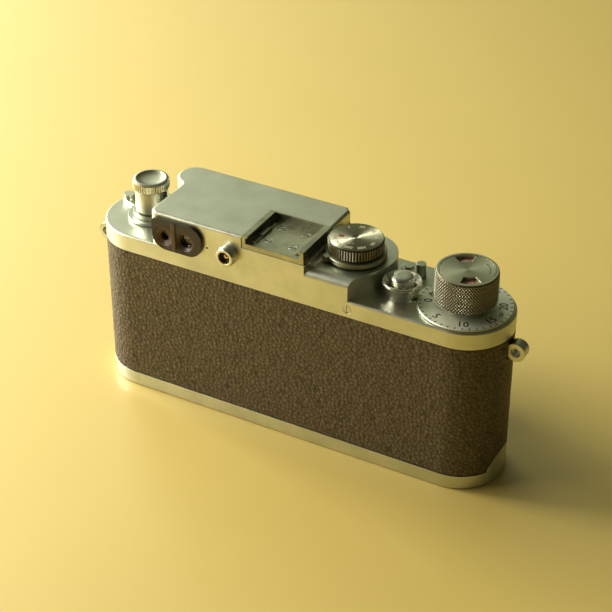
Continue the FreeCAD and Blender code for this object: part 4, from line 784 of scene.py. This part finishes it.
def make_reminder_figures(material):
    """Film speeds on the disc under the cap, seen through its windows."""
    place = upright_on("film_reminder_scale")
    top = on_face(corners_of("film_reminder_scale")[1].z)
    speeds = ["10", "20", "40", "80", "160", "320"]
    marks = numerals(speeds, size=1.9, radius=5.9, height=top, place=place, start=121, step=60)
    marks += ticks(count=24, inner=7.1, outer=7.6, width=0.14, height=top, place=place, start=0, step=15)
    finished(join("reminder_figures", marks), "wind", material)


def make_counter_marks(material):
    """Forty divisions with a numeral at every fifth, on the frame counter dial."""
    place = upright_on("frame_counter_dial")
    face, ten, division = 56.45, 110, 9
    top = on_face(face)
    figures = [str(n) for n in range(0, 40, 5)]
    marks = numerals(figures, size=3.5, radius=10.95, height=top, place=place, start=ten - 10 * division,
                     step=5 * division, weight=0.05)
    marks += ticks(count=40, inner=12.75, outer=13.7, width=0.3, height=top, place=place, start=ten,
                   step=division)
    finished(join("counter_marks", marks), "counter", material)


def speed_dial_finish():
    """A turned face that stretches its highlight, over a knurl with worn tips whose grooves and rim step are
    darkened with painted shade and grime.
    """
    # the two groove colours put painted shade, with some grime, into the knurl's grooves and the step at the
    # rim
    tips, groove_grime_and_shade, groove, face = (0.52, 0.50, 0.38), (0.06, 0.05, 0.025), (0.08, 0.07, 0.04), (0.52, 0.51, 0.37)
    turned = metal("speed_dial_turned", GREY_METAL, GREY_METAL, (0.38, 0.46), bevel=0,
                   turned_at=upright_on("speed_dial"), ridges=0.02)
    return rim_tones(brushed(turned, 1.0), "speed_dial",
                     ((0.05, tips), (0.26, groove_grime_and_shade), (0.4, groove), (0.48, face)))


def make_speed_dial(figures, red):
    """The knurled speed dial with its figures, arrow and flash mark."""
    low, high = corners_of("speed_dial")
    place = upright_on("speed_dial")
    radius, sleeve, knurl, flutes = width_radius("speed_dial"), 2.28, 0.28, 60
    dimple, screw_top, under = high.z - 0.12, high.z - 0.3, high.z - 1.2
    rows = [(sleeve, low.z, 0), (radius - 0.4, low.z, 0), (radius - 0.3, low.z + 0.15, 0)]
    rows += band(radius, low.z + 0.35, high.z - 0.35, knurl)
    rows += [(radius - 0.2, high.z - 0.1, 0), (radius - 0.4, high.z, 0), (1.3, high.z, 0),
             (1.2, dimple, 0), (0.3, dimple, 0), (0, screw_top, 0), (0, under, 0), (sleeve, under, 0)]
    dial = lathe("speed_dial_knurled", rows, place, 6 * flutes, straight(flutes))
    finished(dial, "speed_dial_turning", speed_dial_finish(), "speed_dial")
    top = on_face(high.z)
    speeds = ["1000", "500", "200", "100", "60", "40", "30", "20", "1"]
    marks = numerals(speeds, size=1.8, radius=6.0, height=top, place=place, start=22, step=37,
                     tops_inward=False, weight=0.03)
    marks.append(arc_mark(inner=1.5, outer=4.4, start=83.5, end=86.5, height=top, place=place))
    marks += arrow(radius=3.6, start=60, end=108, width=0.16, height=top, place=place)
    # the figures, the line and the arrow take the pale fill as painted glints in place of their black filling
    finished(join("speed_figures", marks), "speed_dial_turning", figures)
    flash = arc_mark(inner=3.6, outer=5.2, start=10, end=24, height=top, place=place, steps=3)
    finished(join("flash_mark", [flash]), "speed_dial_turning", red)


def make_sync_marks(material):
    """Contact settings on the visible rim of the synchroniser ring."""
    marks = ticks(count=21, inner=8.4, outer=8.8, width=0.12, height=on_face(64.2),
                  place=upright_on("speed_dial"), start=95, step=9)
    finished(join("sync_marks", marks), "sync_ring", material)


def make_rewind_knob():
    """The rewind knob: a plain stem under a fluted head with a dished top."""
    low, high = corners_of("rewind_knob")
    radius = width_radius("rewind_knob")
    bore, stem, grip, flute_depth, flutes = 2.02, 5.3, 65.9, 0.2, 44
    rows = [(bore, low.z, 0), (stem - 0.4, low.z, 0), (stem - 0.2, low.z + 0.3, 0), (stem, grip - 0.5, 0),
            (radius - 0.3, grip - 0.05, 0)]
    rows += band(radius, grip + 0.2, high.z - 0.65, flute_depth)
    rows += [(radius - 0.3, high.z - 0.2, 0), (radius - 0.7, high.z, 0), (radius - 1.1, high.z, 0),
             (radius - 1.5, high.z - 0.35, 0), (2.4, high.z - 0.75, 0), (0, high.z - 0.8, 0),
             (0, high.z - 1.4, 0), (bore, high.z - 1.4, 0)]
    knob = lathe("rewind_knob_knurled", rows, upright_on("rewind_knob"), 6 * flutes, straight(flutes))
    material = metal("rewind_knob_chrome", (0.63, 0.63, 0.53), (0.46, 0.46, 0.37), (0.3, 0.42), bevel=0)
    finished(knob, "rewind", material, "rewind_knob")


def make_slow_dial(material, figures):
    """The slow-speed dial on the front, with a raised boss and its figures."""
    low, high = corners_of("slow_speed_dial")
    place = forward_on("slow_speed_dial")
    radius, rear, front = width_radius("slow_speed_dial"), -high.y, -low.y
    shaft, seat, boss, shoulder, knurl, flutes = 2.05, 15.1, radius - 2.6, front - 1.6, 0.28, 48
    rows = [(0, rear, 0), (shaft, rear, 0), (shaft, seat, 0), (radius - 0.6, seat, 0)]
    rows += band(radius, seat + 0.45, shoulder - 0.45, knurl)
    rows += [(radius - 0.4, shoulder - 0.12, 0), (radius - 0.7, shoulder, 0), (boss + 0.5, shoulder, 0),
             (boss + 0.1, front - 0.3, 0), (boss - 0.3, front, 0), (1.5, front, 0), (1.4, front - 0.2, 0),
             (0, front - 0.2, 0)]
    dial = lathe("slow_dial_knurled", rows, place, 6 * flutes, straight(flutes))
    finished(dial, "slow_dial", material, "slow_speed_dial")
    marks = numerals(["1", "2", "4", "8", "15", "30"], size=1.9, radius=3.7, height=on_face(front),
                     place=place, start=90, step=46, tops_inward=False)
    marks += ticks(count=6, inner=5.9, outer=6.9, width=0.2, height=on_face(shoulder), place=place,
                   start=90, step=46)
    finished(join("slow_dial_figures", marks), "slow_dial", figures)


# --- Lens ---------------------------------------------------------------------------------------

def make_lens_head(material):
    """The front of the lens: a fluted ring round a dished face."""
    low, high = corners_of("lens_head")
    radius, rear, front = width_radius("lens_head"), -high.y, -low.y
    bore, tail, face, well, dish, flute_depth, flutes = 8.6, 10.5, 28.05, 12.3, 13.4, 0.3, 90
    rows = [(bore, rear, 0), (tail, rear, 0), (tail, face, 0), (radius - 0.5, face, 0),
            (radius, face + 0.5, 0), (radius, face + 1.3, 0)]
    rows += band(radius, face + 1.5, face + 4.2, flute_depth)
    rows += [(radius, face + 4.45, 0), (radius, face + 5.0, 0), (radius - 0.45, face + 5.3, 0),
             (radius - 0.45, front - 0.5, 0), (radius - 0.9, front, 0), (dish, front, 0),
             (well, front - 1.1, 0), (well, front - 2.0, 0), (bore, front - 2.0, 0)]
    head = lathe("lens_head_knurled", rows, forward_on("lens_head"), 6 * flutes, straight(flutes))
    finished(head, "lens_unit", material, "lens_head")


def make_lens_figures(material):
    """Distances on the focusing ring and stops round the front of the lens."""
    place = forward_on("lens_head")
    ring = on_face(24.8)
    distances = ["1", "1.2", "1.5", "2", "3", "5", "10", "20"]
    marks = numerals(distances, size=1.9, radius=21.4, height=ring, place=place, start=20, step=22,
                     tops_inward=False)
    marks += ticks(count=22, inner=23.0, outer=23.6, width=0.16, height=ring, place=place, start=20,
                   step=7.33)
    finished(join("distance_figures", marks), "focus", material)
    front = on_face(-corners_of("lens_head")[0].y)
    stops = ["3.5", "4.5", "6.3", "9", "12.5", "18"]
    marks = numerals(stops, size=1.9, radius=15.6, height=front, place=place, start=90, step=20,
                     tops_inward=False)
    marks += ticks(count=6, inner=13.6, outer=14.2, width=0.2, height=front, place=place, start=90, step=20)
    finished(join("stop_figures", marks), "lens_unit", material)


# --- Smaller fittings ---------------------------------------------------------------------------

def make_bush_thread(material):
    """The tripod bush with its screw thread."""
    low, high = corners_of("tripod_bush")
    bore, neck, flange, shoulder = 3.1, 3.95, width_radius("tripod_bush"), 1.22
    mouth, mouth_radius = 0.3, bore + 0.3
    pitch, thread_depth, steps = 1.27, 0.45, 36
    length = high.z - low.z - 2 * mouth
    rows = [(neck, low.z, 0), (neck, shoulder, 0), (flange, shoulder, 0), (flange, high.z, 0),
            (mouth_radius, high.z, 0)]
    rows += [(bore, high.z - mouth - length * i / steps, -thread_depth) for i in range(steps + 1)]
    rows += [(mouth_radius, low.z, 0)]
    bush = lathe("tripod_bush_threaded", rows, upright_on("tripod_bush"), 96, helix(pitch))
    finished(bush, "base", material, "tripod_bush")


def make_lock_marks(material):
    """Two turning arrows on the face of the base lock, seen from below."""
    centre = centre_of("lock_disc")
    place = downward_at(centre.x, centre.y)
    face = on_face(-corners_of("lock_disc")[0].z)
    marks = []
    for start, end in ((200, 250), (340, 290)):
        marks += arrow(radius=8.05, start=start, end=end, width=0.22, height=face, place=place)
    finished(join("lock_marks", marks), "lock", material)


def make_eyepiece_bridge(material):
    """The raised rib between the two eyepieces."""
    low, high = corners_of("eyepiece_plate")
    middle = centre_of("eyepieces").x
    half_width, root, raised, rounding = 0.8, 0.2, 0.22, 0.16
    rib = block("eyepiece_rib", (middle - half_width, high.y - root, low.z + 0.3),
                (middle + half_width, high.y + raised, high.z - 0.2))
    soften = bmesh.new()
    soften.from_mesh(rib.data)
    bmesh.ops.bevel(soften, geom=soften.edges, offset=rounding * MM, segments=3, affect="EDGES")
    soften.to_mesh(rib.data)
    soften.free()
    finished(rib, "camera_body", material)


# --- Everything ---------------------------------------------------------------------------------

def slot_finishes():
    """One finish for each material slot of the CAD model."""
    return {
        "satin_chrome": metal("satin_chrome_plate", (0.65, 0.67, 0.57), (0.53, 0.55, 0.46), (0.32, 0.44)),
        "aluminium": metal("blackened_alloy", (0.20, 0.20, 0.19), (0.10, 0.10, 0.09), (0.45, 0.6)),
        "black_enamel": paint("black_enamel_coat", (0.012, 0.009, 0.006), (0.03, 0.022, 0.012)),
        "brass": metal("machined_brass", (0.72, 0.52, 0.22), (0.5, 0.34, 0.13), (0.2, 0.35)),
        "steel": metal("turned_steel", (0.62, 0.61, 0.57), (0.42, 0.41, 0.38), (0.15, 0.3)),
        "glass": glass("optical_glass", (0.75, 0.85, 0.9)),
        "red_enamel": paint("red_enamel_coat", (0.34, 0.045, 0.03), (0.22, 0.02, 0.015)),
        "black_plastic": paint("black_insulator", (0.03, 0.012, 0.01), (0.07, 0.02, 0.015), 0.4),
        "shutter_cloth": cloth("rubberised_cloth"),
    }


def coat_nodes(finishes, bronze):
    """Gives every CAD node its finish: the slot's own, or a worn or turned one."""
    for entry in frame["record"]["subparts"]:
        if entry["node"] != "leather_cover":
            coat(entry["node"], finishes[entry["material_slot"]])
    bright = metal("bright_chrome", (0.78, 0.78, 0.70), (0.62, 0.62, 0.54), (0.22, 0.34))
    for node in ("release_button", "release_collar", "sync_socket"):
        coat(node, bright)
    worn = metal("worn_chrome", (0.52, 0.52, 0.40), (0.22, 0.22, 0.15), (0.22, 0.45), grain=2600, bump=0.04)
    for node in ("accessory_shoe", "shoe_springs"):
        coat(node, worn)
    coat("eyepieces", bronze)
    coat("film_reminder_scale", paint("faded_red_scale", (0.32, 0.12, 0.08), (0.42, 0.22, 0.16)))
    coat("frame_counter_dial", metal("counter_dial_satin", (0.84, 0.86, 0.74), (0.70, 0.72, 0.60),
                                     (0.5, 0.62), turned_at=upright_on("frame_counter_dial")))
    for node in ("film_reminder_cap", "sync_dial"):
        turned = metal(node + "_turned", (0.49, 0.50, 0.37), (0.39, 0.40, 0.29), (0.38, 0.48),
                       turned_at=upright_on(node))
        coat(node, brushed(turned, 0.5))
    for node in ("lens_barrel", "focus_ring", "lens_tube", "aperture_ring"):
        coat(node, metal(node + "_turned", (0.74, 0.75, 0.70), (0.6, 0.61, 0.56), (0.2, 0.32),
                         turned_at=forward_on("lens_tube")))


def main():
    add_camera()
    add_studio()
    add_floor()
    finishes = slot_finishes()
    enamel = finishes["black_enamel"]
    bronze = paint("browned_lacquer", (0.045, 0.024, 0.011), (0.11, 0.062, 0.026), 0.34)
    # pale fill: real pale print on the film speed disc, and painted glints on the speed dial's engraved marks
    pale_print_and_glints = paint("pale_print_and_glint_filling", (0.62, 0.60, 0.42), (0.50, 0.48, 0.32))
    knurled = metal("knurled_chrome", (0.66, 0.66, 0.56), (0.42, 0.42, 0.34), (0.2, 0.34), bevel=0)
    coat_nodes(finishes, bronze)
    make_covering()
    make_wind_knob()
    make_cap_marks(enamel)
    make_reminder_figures(pale_print_and_glints)
    make_counter_marks(enamel)
    make_speed_dial(pale_print_and_glints, finishes["red_enamel"])
    make_sync_marks(enamel)
    make_rewind_knob()
    make_slow_dial(knurled, enamel)
    make_lens_head(knurled)
    make_lens_figures(enamel)
    make_bush_thread(finishes["brass"])
    make_lock_marks(enamel)
    make_eyepiece_bridge(bronze)


main()
